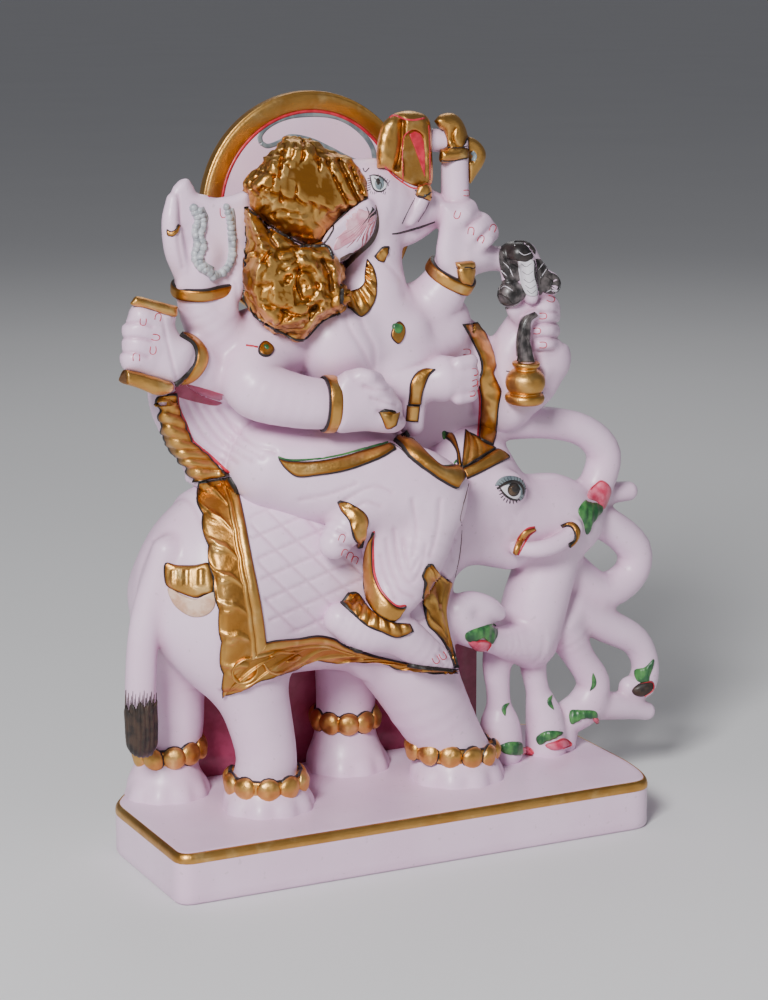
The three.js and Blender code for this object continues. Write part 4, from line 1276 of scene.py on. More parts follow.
def curled(field, low, high, spots, keep):
    """Carved curls. Each place belongs to its nearest spot, where it bulges by 1 - (r / reach)^2 and a groove winds
    in: sin(2 pi r / turn + angle) round the spot. keep(x, y, z) fades the curls out."""
    cut, axes = field.window(low, high)
    value = field.value[cut]
    near = np.abs(value) < 3.2
    x, y, z = (np.broadcast_to(axis, value.shape)[near] for axis in axes)
    points = np.stack((x, y, z), axis=1)
    best = np.full(len(points), np.inf)
    height = np.zeros(len(points))
    for number, spot in enumerate(spots):
        slope = np.array([field.at(spot[None] + step)[0] - field.at(spot[None] - step)[0]
                          for step in np.eye(3) * 0.8])
        _, one, two = frame_round(slope + 1e-6)
        offset = points - spot
        away = np.linalg.norm(offset, axis=1)
        angle = np.arctan2(offset @ two, offset @ one)
        size = CURL_REACH * (0.8 + 0.4 * ((number * 0.37) % 1))
        wind = np.sin(2 * math.pi * away / CURL_TURN + (1 if number % 2 else -1) * angle + number)
        here = CURL_BULGE * np.maximum(1 - (away / size) ** 2, 0) + CURL_GROOVE * wind * np.clip(away / 1.5, 0, 1)
        nearer = away / size < best
        best = np.where(nearer, away / size, best)
        height = np.where(nearer, here, height)
    value[near] -= height * keep(x, y, z)
    field.value[cut] = value


def smooth_low(x, y, z):
    """1 over the upper hair's locks, 0 on the plain leaf below its ledge."""
    u, v, _ = to_photo(x, y, z)
    ledge = 190 + np.clip(u - 262, 0, 70) * 0.32
    return np.clip((ledge - v) / 6, 0, 1)


def smooth_cone(x, y, z):
    """1 over the lower hair's curls, 0 on the plain cone at its top left."""
    u, v, _ = to_photo(x, y, z)
    return np.clip((v + (u - 246) * 0.9 - 246) / 10, 0, 1)


def crumple(x, y, z):
    """Creased foil: three folded waves, 1 - 2 |sin|, each bent by another wave."""
    bend = 1.6 * np.sin(x * 0.31 + z * 0.23) + 1.1 * np.sin(z * 0.47 - y * 0.39)
    folds = [1 - 2 * np.abs(np.sin(0.42 * x + 0.17 * z + bend)),
             1 - 2 * np.abs(np.sin(0.39 * z - 0.21 * x + 0.3 * y - bend)),
             1 - 2 * np.abs(np.sin(0.61 * y + 0.33 * z - 0.28 * x + 0.7 * bend))]
    return 0.27 * sum(folds)


# Carved locks of the hair in the photograph: raised ridges, and the deep lines between them
UPPER_LOCKS = (((312, 156), (318, 176), (332, 201)), ((322, 161), (331, 183), (346, 206)),
    ((333, 160), (343, 182), (356, 203)), ((345, 163), (354, 180), (362, 199)),
    ((356, 172), (362, 184), (366, 195)), ((301, 148), (298, 168), (290, 196)),
    ((290, 146), (286, 166), (276, 190)), ((309, 150), (309, 172), (315, 192)),
    ((274, 160), (270, 172), (258, 186)), ((312, 195), (326, 202), (336, 214)),
    ((322, 186), (330, 192), (338, 203)), ((296, 152), (293, 170), (284, 194)),
    ((314, 166), (312, 182), (322, 196)), ((303, 172), (302, 186), (306, 198)),
    ((280, 158), (277, 170), (266, 190)))
UPPER_CUTS = (((303, 142), (303, 156), (296, 172), (296, 198)), ((283, 152), (280, 172), (281, 200)),
    ((319, 160), (318, 182), (322, 200)), ((327, 163), (337, 184), (350, 209)),
    ((339, 161), (349, 182), (359, 202)), ((351, 168), (358, 182), (364, 197)),
    ((262, 186), (272, 188), (274, 176)))
LOWER_LOCKS = (((283, 302), (277, 286), (285, 270), (302, 261), (318, 269), (323, 287), (313, 303), (298, 308),
    (289, 297), (293, 282), (304, 277), (311, 287), (304, 295)), ((262, 262), (255, 285), (262, 306), (276, 320)),
    ((328, 254), (335, 268), (337, 285)), ((326, 300), (319, 315), (306, 329)),
    ((276, 326), (292, 322), (306, 312)), ((284, 256), (300, 251), (318, 253)),
    ((268, 252), (274, 264), (270, 280)), ((341, 290), (336, 304), (324, 312)),
    ((250, 213), (256, 230), (262, 249)))
LOWER_CUTS = (((266, 224), (270, 238), (276, 246)), ((284, 270), (296, 262)), ((299, 270), (297, 284), (302, 298)),
    ((270, 252), (262, 262)), ((322, 260), (329, 274), (331, 290)), ((282, 310), (300, 316), (316, 306)))


def hair(gold):
    """Two gilded masses of hair: each a rounded outline with small curls, drawn locks and deep lines between."""
    for outline, front, back, low, high, keep, locks, cuts in (
            (UPPER_HAIR, -17.5, 17, (-62, -26, 240), (8, 24, 292), smooth_low, UPPER_LOCKS, UPPER_CUTS),
            (LOWER_HAIR, -25.5, 6, (-62, -33, 204), (0, 14, 270), smooth_cone, LOWER_LOCKS, LOWER_CUTS)):
        field = Field(low, high, 0.5 * COARSE)
        field.merge(Sightline(outline, front, back, 11), 0)
        spots = scattered(field, low, high)
        curled(field, low, high, spots, lambda x, y, z: 0.2 + 0.8 * keep(x, y, z))
        if keep is smooth_low:
            field.swell(low, high, lambda x, y, z: 1.5 * smooth_low(x, y, z) * (y < 2) - 0.4)
        field.swell(low, high, crumple)
        cut_lines(field, locks, -2.0, 4.0, -34, -4)
        cut_lines(field, cuts, 2.0, 1.9, -34, -4)
        closed_surface(gold, field)
        later.append(field)


CAP_COLLAR = ((440, 149), (452, 148), (467, 147), (468, 159), (455, 162), (440, 162))
TOWER = ((377, 168), (377, 146), (382, 126), (388, 118), (396, 113), (408, 111), (420, 113), (428, 118), (431, 128),
    (432, 150), (432, 183), (419, 188), (410, 186), (401, 181), (393, 174), (386, 169))
ARCH = ((404, 184), (403, 150), (404, 138), (409, 132), (415, 130), (421, 133), (425, 141), (427, 160), (426, 184))
HOOK = ((462, 137), (470, 137), (478, 141), (484, 148), (486, 156), (483, 165), (477, 174), (470, 184), (468, 175),
    (467, 163), (463, 158))
STAFF_CAP = ((434, 121), (440, 115), (451, 113), (460, 118), (466, 129), (468, 141), (467, 158), (454, 161),
    (441, 161), (441, 151), (446, 145), (444, 132), (439, 128))
STAFF_FOOT = ((455, 262), (475, 262), (473, 284), (467, 286), (461, 284), (458, 278))
TUSK_CAP = ((417, 189), (420, 184), (426, 183), (431, 187), (432, 195), (430, 201), (423, 198), (416, 195))
DRUM_TOP = ((132, 301), (135, 297), (141, 297), (175, 306), (177, 309), (175, 317), (154, 311), (132, 305))
DRUM_FOOT = ((120, 376), (124, 370), (134, 371), (170, 382), (172, 391), (157, 395), (138, 388), (120, 382))


def gilded(gold):
    """Gilded things with a body of their own: the tower, the staff's cap and foot, the tusk cap and the drum rims."""
    field = Field((-110, -30, 188), (50, 12, 300), 0.5 * COARSE)
    build(field, ((Sightline(TOWER, -15, 6, 5), 0), (Sightline(STAFF_CAP, -12.8, 1, 4.6), 0),
                  (Sightline(CAP_COLLAR, -13.6, 2, 4.6), 0.3),
                  (Sightline(HOOK, -8.5, -2.5, 2.6), 0.4),
                  (Ball(plane_point(472.5, 157, -9), (2.0, 2.4, 2.5)), 0.5, "carve"),
                  (Sightline(STAFF_FOOT, -18, -9, 3.4), 0), (Sightline(TUSK_CAP, -17, -9, 2.4), 0),
                  (Sightline(DRUM_TOP, -17.8, 2, 2.4), 0), (Sightline(DRUM_FOOT, -17.8, 2, 2.6), 0)))
    cut_lines(field, (((402, 122), (401, 145), (397, 168)),), 2.6, 3.2, -20, -6)
    build(field, ((Sightline(ARCH, -20, -13.4, 0.8), 0.4, "carve"),))
    cut_lines(field, (((455, 128), (452, 138), (457, 146)),), 1.0, 2.2, -20, -5)
    cut_lines(field, (((448, 147), (458, 147.5), (467, 146)), ((457, 268), (465, 269), (474, 268))), 0.5, 1.6, -20,
              -5)
    field.swell(field.low, (20, 12, 300), lambda x, y, z: 0.12 * np.sin(x * 0.9 + z * 0.5) * np.sin(z * 0.8 - y))
    closed_surface(gold, field)
    later.append(field)
    pot = ((0, -8.6), (5.6, -8.6), (7.6, -7.8), (8.2, -6), (7.6, -4.6), (6.4, -4), (7.6, -2.4), (8.2, 0.2), (7.7, 3),
           (5.8, 5.2),
           (4.6, 5.9), (4.9, 6.6), (5.7, 7.6), (5.2, 8.8), (0, 8.8))
    lathe(gold, (65.6, -11, 185.8), evenly(pot, 70), (0.0, -0.06, 1), 72)


def dome(height, power=4):
    """Proud by its height in the middle, falling to a third of it at the sides."""
    return lambda s, t, length: height * (0.33 + 0.67 * (1 - np.abs(2 * t - 1) ** power))


def crumpled(height, size, seed, depth=0.5):
    """The same with dents of about one size in it."""
    return lambda s, t, length: (height * (0.4 + 0.6 * (1 - np.abs(2 * t - 1) ** 4))
                                 + depth * hammered(s, t * 6, size, seed))


def scallops(length, height):
    return lambda s: height * np.abs(np.sin(s / length * math.pi))


def sprays(s, t, length):
    """Along the inner side a smooth roll and a narrow rib, each a half ellipse. On the rest, for every eleven
    millimetres, a lobe at the outer edge and a leaf that runs slantwise to the rib with a small one beside it."""
    field = np.clip(t / 0.66, 0, 1)
    turn = (s / 11 - 1.45 * field - 0.12 * np.sin(field * 2 * math.pi)) % 1 - 0.5
    leaf = 1.15 * np.exp(-((turn / 0.1) ** 2)) * np.sin(field * math.pi) ** 0.5
    small = 0.75 * np.exp(-(((turn - 0.27 + 0.2 * field) / 0.07) ** 2))
    small = small * np.clip(1 - np.abs(field - 0.4) / 0.34, 0, 1)
    lobe = 0.7 * np.abs(np.sin(s / 11 * math.pi)) * (1 - field) ** 2
    rib = 0.9 * np.sqrt(np.clip(1 - ((t - 0.715) / 0.05) ** 2, 0, 1))
    roll = 1.35 * np.sqrt(np.clip(1 - ((t - 0.885) / 0.115) ** 2, 0, 1))
    return np.where(t < 0.66, 0.45 + leaf + small + lobe + 0.06 * hammered(s, t * 14, 4, 3), 0.3 + rib + roll)


# The anklets: a point on the leg's axis, the axis, about how thick the leg is there, and the number of beads
ANKLETS = (((-50, -6, 31.5), (0, 0, 1), 13, 10), ((-76.5, 28, 38.6), (-0.1, 0, 1), 12, 10),
    ((34.6, -5, 32.8), (0.1, 0, 1), 15.4, 11), ((2, 28, 42), (0, 0, 1), 12.4, 10))


def elephant_gold(gold, dark, red, worn):
    outer = ((199, 482), (201, 505), (206, 528), (210, 556), (215, 585), (220, 620), (222, 650), (225, 695))
    inner = ((231, 477), (239, 493), (246, 525), (252, 558), (257, 583), (261, 605), (264, 625), (266, 642))
    band(gold, outer, inner, sprays, grain=0.38, ends=(True, False), scallop=scallops(11, 1.1))
    hem_outer = ((225, 695), (246, 687), (264, 679), (280, 674), (294, 669), (304, 662), (320, 659), (336, 661),
                 (357, 660),
                 (378, 661), (401, 667), (424, 670), (456, 672))
    hem_inner = ((266, 642), (276, 640), (298, 638), (318, 635), (334, 638), (344, 644), (360, 650), (375, 655),
                 (387, 658),
                 (404, 662), (420, 665), (438, 667), (456, 669))
    band(gold, hem_outer, hem_inner, sprays, 0.4, grain=0.38, ends=(False, False), scallop=scallops(6.5, 0.7))
    for path in (((250, 657), (242, 659), (234, 666), (233, 674), (239, 681), (248, 680), (255, 673), (256, 665)),
                 ((262, 663), (267, 670), (274, 673), (281, 671)), ((268, 656), (276, 652), (286, 652), (294, 651)),
                 ((284, 661), (292, 659), (298, 654))):
        line(gold, path, 1.5, 2.3, taper=0.7)
    band(gold, ((426, 561), (420, 576), (422, 600), (427, 624), (435, 633), (443, 643), (450, 657), (454, 668)),
         ((428, 561), (433, 569), (442, 577), (451, 582), (447, 596), (445, 612), (448, 636), (456, 668)), sprays,
         0.35)
    band(gold, ((451, 583), (447, 597), (445, 611)), ((452, 583), (449, 596), (446, 611)), dome(0.4), 0)
    pouch = ((165, 563), (178, 565), (195, 565), (209, 563), (213, 575), (214, 591), (205, 595), (196, 598),
             (183, 594), (168, 587), (164, 578))
    patch(gold, pouch, lambda r, u,
          v: 1.4 * (1 - r**6) + 0.3 + 0.7 * (np.abs(v - 578) < 8) * np.maximum(np.cos((u - 174) * 0.45), 0), 0.5)
    worn_part = ((168, 588), (183, 595), (196, 599), (206, 596), (214, 592), (215, 605), (208, 614), (196, 617),
                 (184, 613), (173, 603))
    patch(worn, worn_part, lambda r, u, v: 0.9 * (1 - r**4) + 0.25, 0)
    band(gold, ((465, 431), (463, 450), (461, 470)), ((466, 431), (482, 441), (495, 449)),
         lambda s, t, length: (0.6 + 0.55 * np.abs(np.sin(t * 3 * math.pi + s / 2.4))
                               + 0.2 * hammered(s, t * 9, 4, 11)))
    band(gold, ((461, 469), (477, 461), (495, 449), (502, 452)), ((466, 480), (483, 472), (508, 459), (508, 459)),
         dome(1.3))
    band(gold, ((535, 528), (524, 531), (517, 541), (513, 552)), ((535, 530), (528, 535), (522, 545), (517, 555)),
         dome(0.9), 0)
    line(red, ((514, 550), (519, 537), (527, 529), (535, 527)), 0.7)
    line(red, ((518, 555), (523, 546), (529, 536), (536, 530)), 0.7)
    tusk = ((560, 525), (568, 522), (576, 524), (580, 532), (575, 541), (567, 545))
    ring = ((562, 528), (568, 527), (572, 529), (573, 534), (571, 539), (565, 542))
    band(gold, tusk, ring, dome(1.2), 0.35)
    for centre, axis, reach, count in ANKLETS:
        hoop(gold, centre, axis, reach * 0.6, reach * 1.35, 3.6, 1.1, 0.35)
        beads(gold, dark, centre, axis, reach * 0.6, reach * 1.35, count, (5.0, 4.8, 3.0))


def rider_gold(gold):
    # Waistband
    band(gold, ((278, 458), (290, 461), (316, 461), (340, 457), (362, 451), (388, 444)),
         ((279, 461), (285, 469), (297, 477), (316, 476), (347, 471), (378, 460), (396, 450)), dome(1.6))
    # Hems of the robe over the folded and the hanging leg
    band(gold, ((337, 502), (341, 511), (349, 522), (353, 538), (361, 548)),
         ((340, 500), (352, 504), (367, 516), (366, 533), (363, 548)),
         crumpled(1.3, 3, 21, 0.7), 0.4)
    band(gold, ((372, 532), (365, 552), (363, 575), (364, 592), (371, 608), (380, 617), (392, 622), (398, 619)),
         ((374, 532), (373, 549), (374, 571), (379, 587), (387, 598), (396, 606), (404, 606), (405, 604)), dome(1.1),
         0.4)
    band(gold, ((340, 603), (352, 614), (366, 626), (380, 632), (396, 637), (413, 632)),
         ((348, 592), (357, 592), (364, 600), (374, 612), (390, 621), (409, 624)),
         lambda s, t, length: 0.6 + 1.5 * np.abs(np.sin(s / 4.2 * math.pi)) * np.sin(t * math.pi) ** 0.6)
    # Goad: a rod from the hand, bent up into a hook
    band(gold, ((393, 441), (401, 448), (409, 458), (421, 468), (437, 481), (454, 489), (462, 481)),
         ((407, 430), (412, 438), (425, 452), (440, 465), (450, 466), (456, 465), (461, 472)), dome(2.6, 2.4))
    band(gold, ((445, 438), (451, 443), (456, 452), (457, 463), (458, 472)),
         ((445, 431), (454, 435), (459, 449), (461, 460), (462, 474)),
         dome(1.6, 2.4))
    # Cape borders
    band(gold, ((160, 395), (163, 418), (167, 438), (177, 454), (188, 466), (197, 482)),
         ((176, 393), (178, 408), (184, 424), (191, 441), (204, 453), (216, 464), (230, 475)),
         lambda s, t, length: (0.5 + 1.1 * np.abs(np.sin(s / 5.2 * math.pi - 2.2 * t)) ** 0.7
                               + 0.25 * hammered(s, t * 8, 3, 31)), grain=0.45,
         scallop=scallops(6, 1.0))
    band(gold, ((478, 323), (488, 338), (494, 354), (496, 365), (494, 375), (501, 390), (499, 406), (497, 429),
                (493, 446)),
         ((462, 324), (470, 338), (479, 357), (481, 370), (478, 381), (481, 397), (481, 413), (479, 430), (478, 440)),
         crumpled(1.1, 6, 33, 0.5))
    # Bracelets and the elbow band with its tail
    hoop(gold, (-75.4, -1.5, 231.6), (-0.05, -0.22, 1), 5, 13, 2.6, 1.7)
    band(gold, ((180, 334), (192, 336), (203, 345), (208, 357), (204, 370), (193, 381), (176, 384)),
         ((179, 336), (190, 345), (194, 352), (193, 363), (186, 373), (174, 382)), dome(1.7))
    hoop(gold, (34.6, -5.5, 231), (0.34, -0.42, 0.9), 5, 13, 2.8, 1.7)
    hoop(gold, (-30, -25.5, 186), (0.98, -0.15, -0.05), 5, 14, 2.8, 1.4)
    band(gold, ((435, 370), (424, 369), (415, 374), (410, 383), (409, 394), (408, 404)),
         ((436, 370), (429, 377), (424, 389), (422, 397), (421, 404)), dome(1.3))
    band(gold, ((407, 405), (406, 421)), ((420, 405), (418, 422)), dome(0.8), 0.35)
    band(gold, ((378, 412), (384, 423)), ((388, 407), (393, 418)), dome(0.9), 0.3, tear=12)
    band(gold, ((167, 229), (172, 231), (178, 224)), ((168, 236), (174, 236), (180, 227)), dome(0.8), 0.25)
    # Pendant and shoulder jewel
    patch(gold, ((391, 337), (393, 327), (399, 321), (405, 327), (404, 337), (398, 344)), 0.9, 0.35)
    patch(gold, ((258, 349), (261, 343), (266, 341), (272, 345), (274, 350), (270, 356), (264, 357), (259, 354)), 1.2,
          0.4)
    # Necklace
    band(gold, ((367, 259), (365, 272), (364, 283), (358, 289), (350, 291), (345, 288), (340, 284)),
         ((368, 259), (374, 268), (377, 284), (374, 303), (362, 317), (350, 309), (340, 303)),
         lambda s, t, length: (0.6 + 1.2 * np.abs(np.sin(s / 4 * math.pi)) * np.sin(t * math.pi) ** 0.5
                               + 0.3 * hammered(s, t * 8, 3, 6)), 0.35)
    band(gold, ((374, 256), (382, 247), (389, 246)), ((378, 261), (384, 262), (387, 255)), crumpled(0.8, 3, 5))


EYE_RIM = ((501, 488.5), (505, 485.5), (510, 484), (515, 484), (519, 486.5), (521, 491), (520.5, 496), (517, 499.5),
    (512, 498.5), (507, 495.5), (503.5, 492))


def ring_px(u, v, wide, tall):
    return [(u + wide * math.cos(a), v + tall * math.sin(a)) for a in np.linspace(0, 2 * math.pi, 14, endpoint=False)]


def eyes(black, iris, white, shade):
    """The elephant's large eye with a painted highlight, and the rider's, each with rims and lashes."""
    patch(shade, ((495, 486), (499, 479), (506, 476), (514, 476), (521, 479), (526, 487), (524, 497), (520, 500),
                  (521, 487), (514, 481),
                  (504, 483)), 0.12)
    patch(white, EYE_RIM, 0.2)
    for u, v, wide, tall, heap, proud in ((513.4, 490, 7.0, 7.4, black, 0.32), (512.8, 490.6, 5.4, 5.8, iris, 0.44),
                                          (514.6, 489, 4.2, 4.2, black, 0.56),
                                          (379.4, 184, 5.2, 6.8, shade, 0.25), (378, 182, 2.6, 4.2, black, 0.35)):
        patch(heap, ring_px(u, v, wide, tall), proud)
    # A painted highlight on the elephant's eye
    patch(white, ring_px(510.6, 487.4, 0.9, 0.9), 0.68)
    line(black, ((497, 489), (501, 486), (507, 482.6), (514, 481.6), (520, 484), (523, 489), (523, 494)), 1.2, 0.5,
         taper=0.5)
    line(black, ((500, 488), (503.5, 493.5), (508, 497.4), (513, 499.6), (518, 500)), 0.9, 0.4, taper=0.5)
    for k in range(14):
        a = math.radians(192 + k * 13)
        line(black, ((512 + 11.5 * math.cos(a), 490 + 8.5 * math.sin(a)),
                     (512 + 15.5 * math.cos(a - 0.12), 488.6 + 12.5 * math.sin(a - 0.12))),
             0.62, taper=0.6)
    for k in range(13):
        a = math.radians(-12 + k * 16)
        line(black, ((512 + 10 * math.cos(a), 490.6 + 9.6 * math.sin(a)),
                     (512 + 13.4 * math.cos(a), 491 + 13 * math.sin(a))), 0.42, taper=0.6)
    patch(white, ((371, 176), (376, 176), (382, 179), (386.6, 184), (386, 188), (380, 191.4), (374, 189), (372, 183)),
          0.15)
    line(black, ((369, 176), (374, 175), (381, 177), (387, 182.6), (388, 186)), 0.55, 0.3, taper=0.5)
    line(black, ((370, 176), (371.6, 184), (374.6, 190), (381, 191.6), (386, 188.6)), 0.6, 0.3, taper=0.5)
    line(black, ((374, 178), (381, 184), (380, 190)), 0.6, 0.4, taper=0.5)
    line(black, ((363, 168), (365, 172), (369, 168)), 0.4)
    for k in range(9):
        line(black, ((371 + 1.8 * k, 190.6 + 1.2 * math.sin(k)), (370.4 + 1.8 * k, 193.4 + 1.2 * math.sin(k))), 0.2,
             0.1)
    for k in range(6):
        line(black, ((370.6, 178 + 2.2 * k), (367.4, 178.6 + 2.4 * k)), 0.3, 0.12)
        line(black, ((377 + 2.2 * k, 176.6 + 1.4 * k), (378.4 + 2.3 * k, 174 + 1.3 * k)), 0.2, 0.1)


def snake(black, hood, white):
    """Paint on the snake: a black head, a striped hood and coils, a pale belly with dark bars, and the tail."""
    for path in (((503, 262), (509, 268), (513, 277)), ((501, 270), (507, 276)), ((544, 262), (538, 270)),
                 ((547, 268), (540, 278)),
                 ((546, 292), (553, 288), (557, 284)), ((500, 290), (506, 289), (511, 292)),
                 ((504, 306), (512, 302), (520, 300))):
        line(white, path, 0.5, 0.32, taper=0.6)
    patch(hood, ((499, 262), (500, 249), (508, 243), (518, 262), (520, 280), (512, 281), (504, 278)), 0.22)
    patch(hood, ((532, 262), (540, 259), (548, 268), (545, 284), (541, 295), (533, 292), (531, 276)), 0.22)
    patch(hood, ((498, 284), (507, 279), (518, 282), (526, 291), (524, 299), (513, 306), (503, 310), (497, 302),
                 (495, 292)), 0.25)
    patch(hood, ((543, 270), (553, 274), (560, 283), (559, 292), (548, 294), (540, 288)), 0.25)
    patch(white, ((519, 260), (533, 260), (534, 275), (538, 294), (527, 295), (520, 280)), 0.3)
    patch(black, ((501, 247), (511, 241), (526, 241), (535, 249), (534, 256), (527, 262), (515, 260), (505, 258)),
          0.45)
    for v, reach in ((265, 5), (273, 5), (281, 5), (287, 4.5), (292, 4)):
        middle = 526 + (v - 265) * 0.2
        line(black, ((middle - reach, v - 2), (middle, v + 1.4), (middle + reach, v - 2)), 0.3, 0.4)
    for u, v in ((515, 246), (528, 247)):
        patch(white, ring_px(u, v, 1.4, 1.2), 0.6)
    line(white, ((519, 252), (524, 255), (531, 253)), 0.4, 0.6)
    for path in (((497, 288), (504, 284), (512, 288), (514, 296)), ((499, 304), (508, 300), (518, 299)),
                 ((498, 296), (506, 294), (512, 300)),
                 ((545, 276), (551, 281), (549, 289)), ((552, 276), (557, 284), (555, 291)),
                 ((502, 256), (508, 264), (510, 274)),
                 ((537, 264), (541, 272), (540, 284))):
        line(black, path, 0.45, 0.4, taper=0.5)
    band(hood, ((534, 312), (522, 318), (518, 330), (516, 345), (517, 362)),
         ((538, 316), (531, 322), (531, 334), (531, 346), (536, 362)),
         dome(0.5), 0)
    for k in range(4):
        line(black, ((534 - 3 * k, 314 + k), (525 - k, 326), (520 + 3 * k, 344), (518 + 5 * k, 361)), 0.3, 0.6,
             taper=0.4)


def painted(red, black, green, grey, brown, ear, maroon, umber, blush):
    line(green, ((278, 457), (290, 460), (316, 459), (340, 455), (362, 449), (388, 442)), 0.8)
    line(green, ((435, 462), (441, 466), (452, 465), (457, 460)), 0.9)
    line(red, ((374, 531), (373, 549), (374, 571), (379, 587), (387, 598), (396, 605), (405, 604)), 1.1, 0.5, 0.4)
    line(red, ((177, 393), (179, 408), (186, 424), (193, 441), (206, 452), (218, 463), (229, 473)), 1.1)
    line(red, ((477, 381), (480, 397), (480, 413), (478, 439)), 1.1)
    line(red, ((246, 345), (258, 347)), 0.7)
    line(black, ((392, 234), (400, 233), (418, 228), (435, 222)), 0.9, taper=0.4)
    line(black, ((415, 198), (408, 211), (402, 224)), 0.3)
    line(black, ((430, 201), (425, 211), (418, 222)), 0.25)
    patch(blush, ((367, 211), (369, 217), (361, 229), (351, 240), (341, 248), (334, 250), (336, 241), (344, 228),
                  (354, 217)), 0.12)
    band(brown, ((375, 205), (379, 219), (378, 232), (372, 244), (358, 257), (341, 274)),
         ((374, 205), (375.5, 220), (372, 233), (363, 244), (351, 252), (340, 258)), dome(0.35), 0)
    for k in range(9):
        a = math.radians(103 + 4.5 * k)
        start, end = 8 + 3 * (k % 3), 44 - 9 * (k % 2)
        line(ear, ((371 + start * math.cos(a), 210 + start * math.sin(a)),
                   (369 + end * math.cos(a), 210 + end * math.sin(a))), 0.35, taper=0.6)
    for path in (((371, 209), (367, 215), (364, 222)), ((368, 208), (366, 214)), ((365, 210), (365, 216), (359, 224)),
                 ((370, 213), (366, 216))):
        line(black, path, 0.45, 0.3, taper=0.6)
    # Dark lines round the hair
    for path in (((246, 209), (257, 216), (268, 225), (280, 233), (297, 242), (309, 246), (322, 245), (334, 229),
                  (345, 216), (368, 198)),
                 ((247, 226), (246, 256), (245, 280), (247, 300), (257, 318), (281, 332), (303, 340), (322, 322),
                  (340, 313)),
                 ((300, 247), (315, 246), (328, 247), (333, 259))):
        line(black, path, 0.6, 0.7, sink=2.0)
    line(grey, ((472, 152), (475, 156), (473, 161)), 1.6, 0.3)
    line(black, ((401, 447), (409, 438)), 0.35, 0.4)
    line(black, ((417, 458), (426, 452)), 0.35, 0.4)
    patch(green, ((442, 432), (446, 431), (446, 438), (443, 439)), 0.4)
    line(black, ((392, 443), (401, 449), (409, 458)), 0.3)
    # Halo band
    path = ((261, 143), (260, 136), (266, 128), (277, 121), (293, 116), (317, 114.5), (336, 117), (351, 124),
            (363, 134), (371, 145),
            (374, 155), (373, 165), (352, 160), (330, 149), (313, 141), (298, 137), (288, 137), (280, 142),
            (268, 146), (261, 143))
    line(grey, path, 1.9, near=13)
    patch(maroon, ((166, 384), (186, 384), (219, 393), (224, 397), (221, 404), (209, 405), (173, 395)), 0.2)
    patch(maroon, ((221, 290), (228, 284), (226, 294)), 0.2)
    tuft = [(124, 712), (126, 705), (129, 711), (132, 703), (136, 709), (140, 701), (145, 708), (149, 700),
            (153, 706), (157, 699), (158, 720),
            (157, 742), (151, 757), (138, 760), (128, 752), (124, 735)]
    patch(umber, tuft, lambda r, u,
          v: 0.7 * (1 - r**4) + 0.25 + 0.4 * np.abs(np.sin(u * 0.8 + 0.4 * np.sin(v * 0.1))), near=-30, far=14,
          grain=0.4,
          smooth=False)
    for k in range(24):
        line(umber, ((125 + 1.4 * k, 716), (126 + 1.4 * k, 690 + 12 * ((k * 0.618) % 1))), 0.34, 0.25, taper=0.7,
             near=-30, far=14)
    # The tower's painted lines
    line(red, ((403, 183), (402.5, 150), (404, 137), (409, 131)), 0.4)
    line(red, ((429, 125), (430, 150), (430, 180)), 0.4)
    line(red, ((389, 117), (395, 115), (404, 119), (414, 120), (425, 118)), 0.7)
    line(red, ((385, 167), (393, 175), (402, 182), (413, 188), (424, 187), (433, 183)), 0.6)
    patch(red, ((409, 134), (415, 131), (421, 134), (424, 142), (425, 160), (425, 178), (421, 166), (415, 149)), 0.35,
          smooth=False)
    for a, b in (((415, 190), (431, 192)), ((416, 194), (431, 197)), ((448, 147.5), (467, 146)),
                 ((441, 161), (467, 158)), ((456, 267), (474, 267)),
                 ((506, 371), (537, 371)), ((508, 393), (543, 393))):
        middle = ((a[0] + b[0]) / 2, (a[1] + b[1]) / 2 + 1.4)
        line(black, (a, middle, b), 0.4, 0.3)
    patch(green, ((392, 325), (398, 323), (403, 327), (400, 334), (394, 333)), 1.2)
    patch(green, ((262, 347), (266, 345), (269, 349), (266, 352)), 1.5)
    line(brown, ((469, 483), (465, 499), (460, 514), (462, 526)), 0.35, taper=0.5)
    line(brown, ((462, 530), (461, 545), (459, 560), (455, 578)), 0.35, taper=0.5)


def flower(green, leaf, petal, near, far, bud, edge):
    patch(green, leaf, lambda r, u, v: 0.9 * (1 - r**3) + 0.25 + 0.2 * np.sin(u * 1.1), near=near, far=far)
    patch(bud, petal, lambda r, u, v: 1.3 * (1 - r**3) + 0.25, near=near, far=far)
    rim = np.array(petal)
    for share in (0.1, 0.5, 0.85):
        line(edge, rim.mean(axis=0) * share + rim[1:5] * (1 - share), 0.45, 1.2, taper=0.6, near=near, far=far)


# The flower buds at the trunks' tips: leaves, petals and the two depths they are looked for between
BUDS = ((((578, 511), (585, 500), (589, 502), (600, 504), (603, 510), (594, 522), (587, 535), (583, 522)),
    ((588, 498), (589, 490), (595, 484), (601, 480), (608, 484), (611, 493), (604, 509), (597, 502)), -30, 40),
    (((466, 633), (480, 627), (495, 624), (497, 636), (491, 644), (483, 638), (476, 641), (467, 641)),
    ((468, 642), (476, 640), (484, 640), (491, 643), (487, 650), (476, 650)), -40, 10),
    (((499, 747), (508, 742), (520, 742), (523, 749), (522, 755), (506, 754)),
    ((522, 746), (531, 748), (534, 754), (523, 755)), -40, 30),
    (((536, 738), (546, 731), (563, 732), (556, 738), (546, 742), (540, 745)),
    ((545, 745), (555, 741), (564, 738), (572, 744), (562, 749), (552, 750)), -40, 30),
    (((570, 711), (582, 710), (595, 711), (597, 718), (583, 719), (571, 724)),
    ((593, 717), (598, 718), (598, 723), (594, 722)), -40, 30),
    (((635, 670), (645, 667), (654, 659), (650, 676), (648, 683), (637, 681)),
    ((632, 690), (640, 683), (652, 681), (653, 689), (644, 696), (635, 695)), -30, 40),)
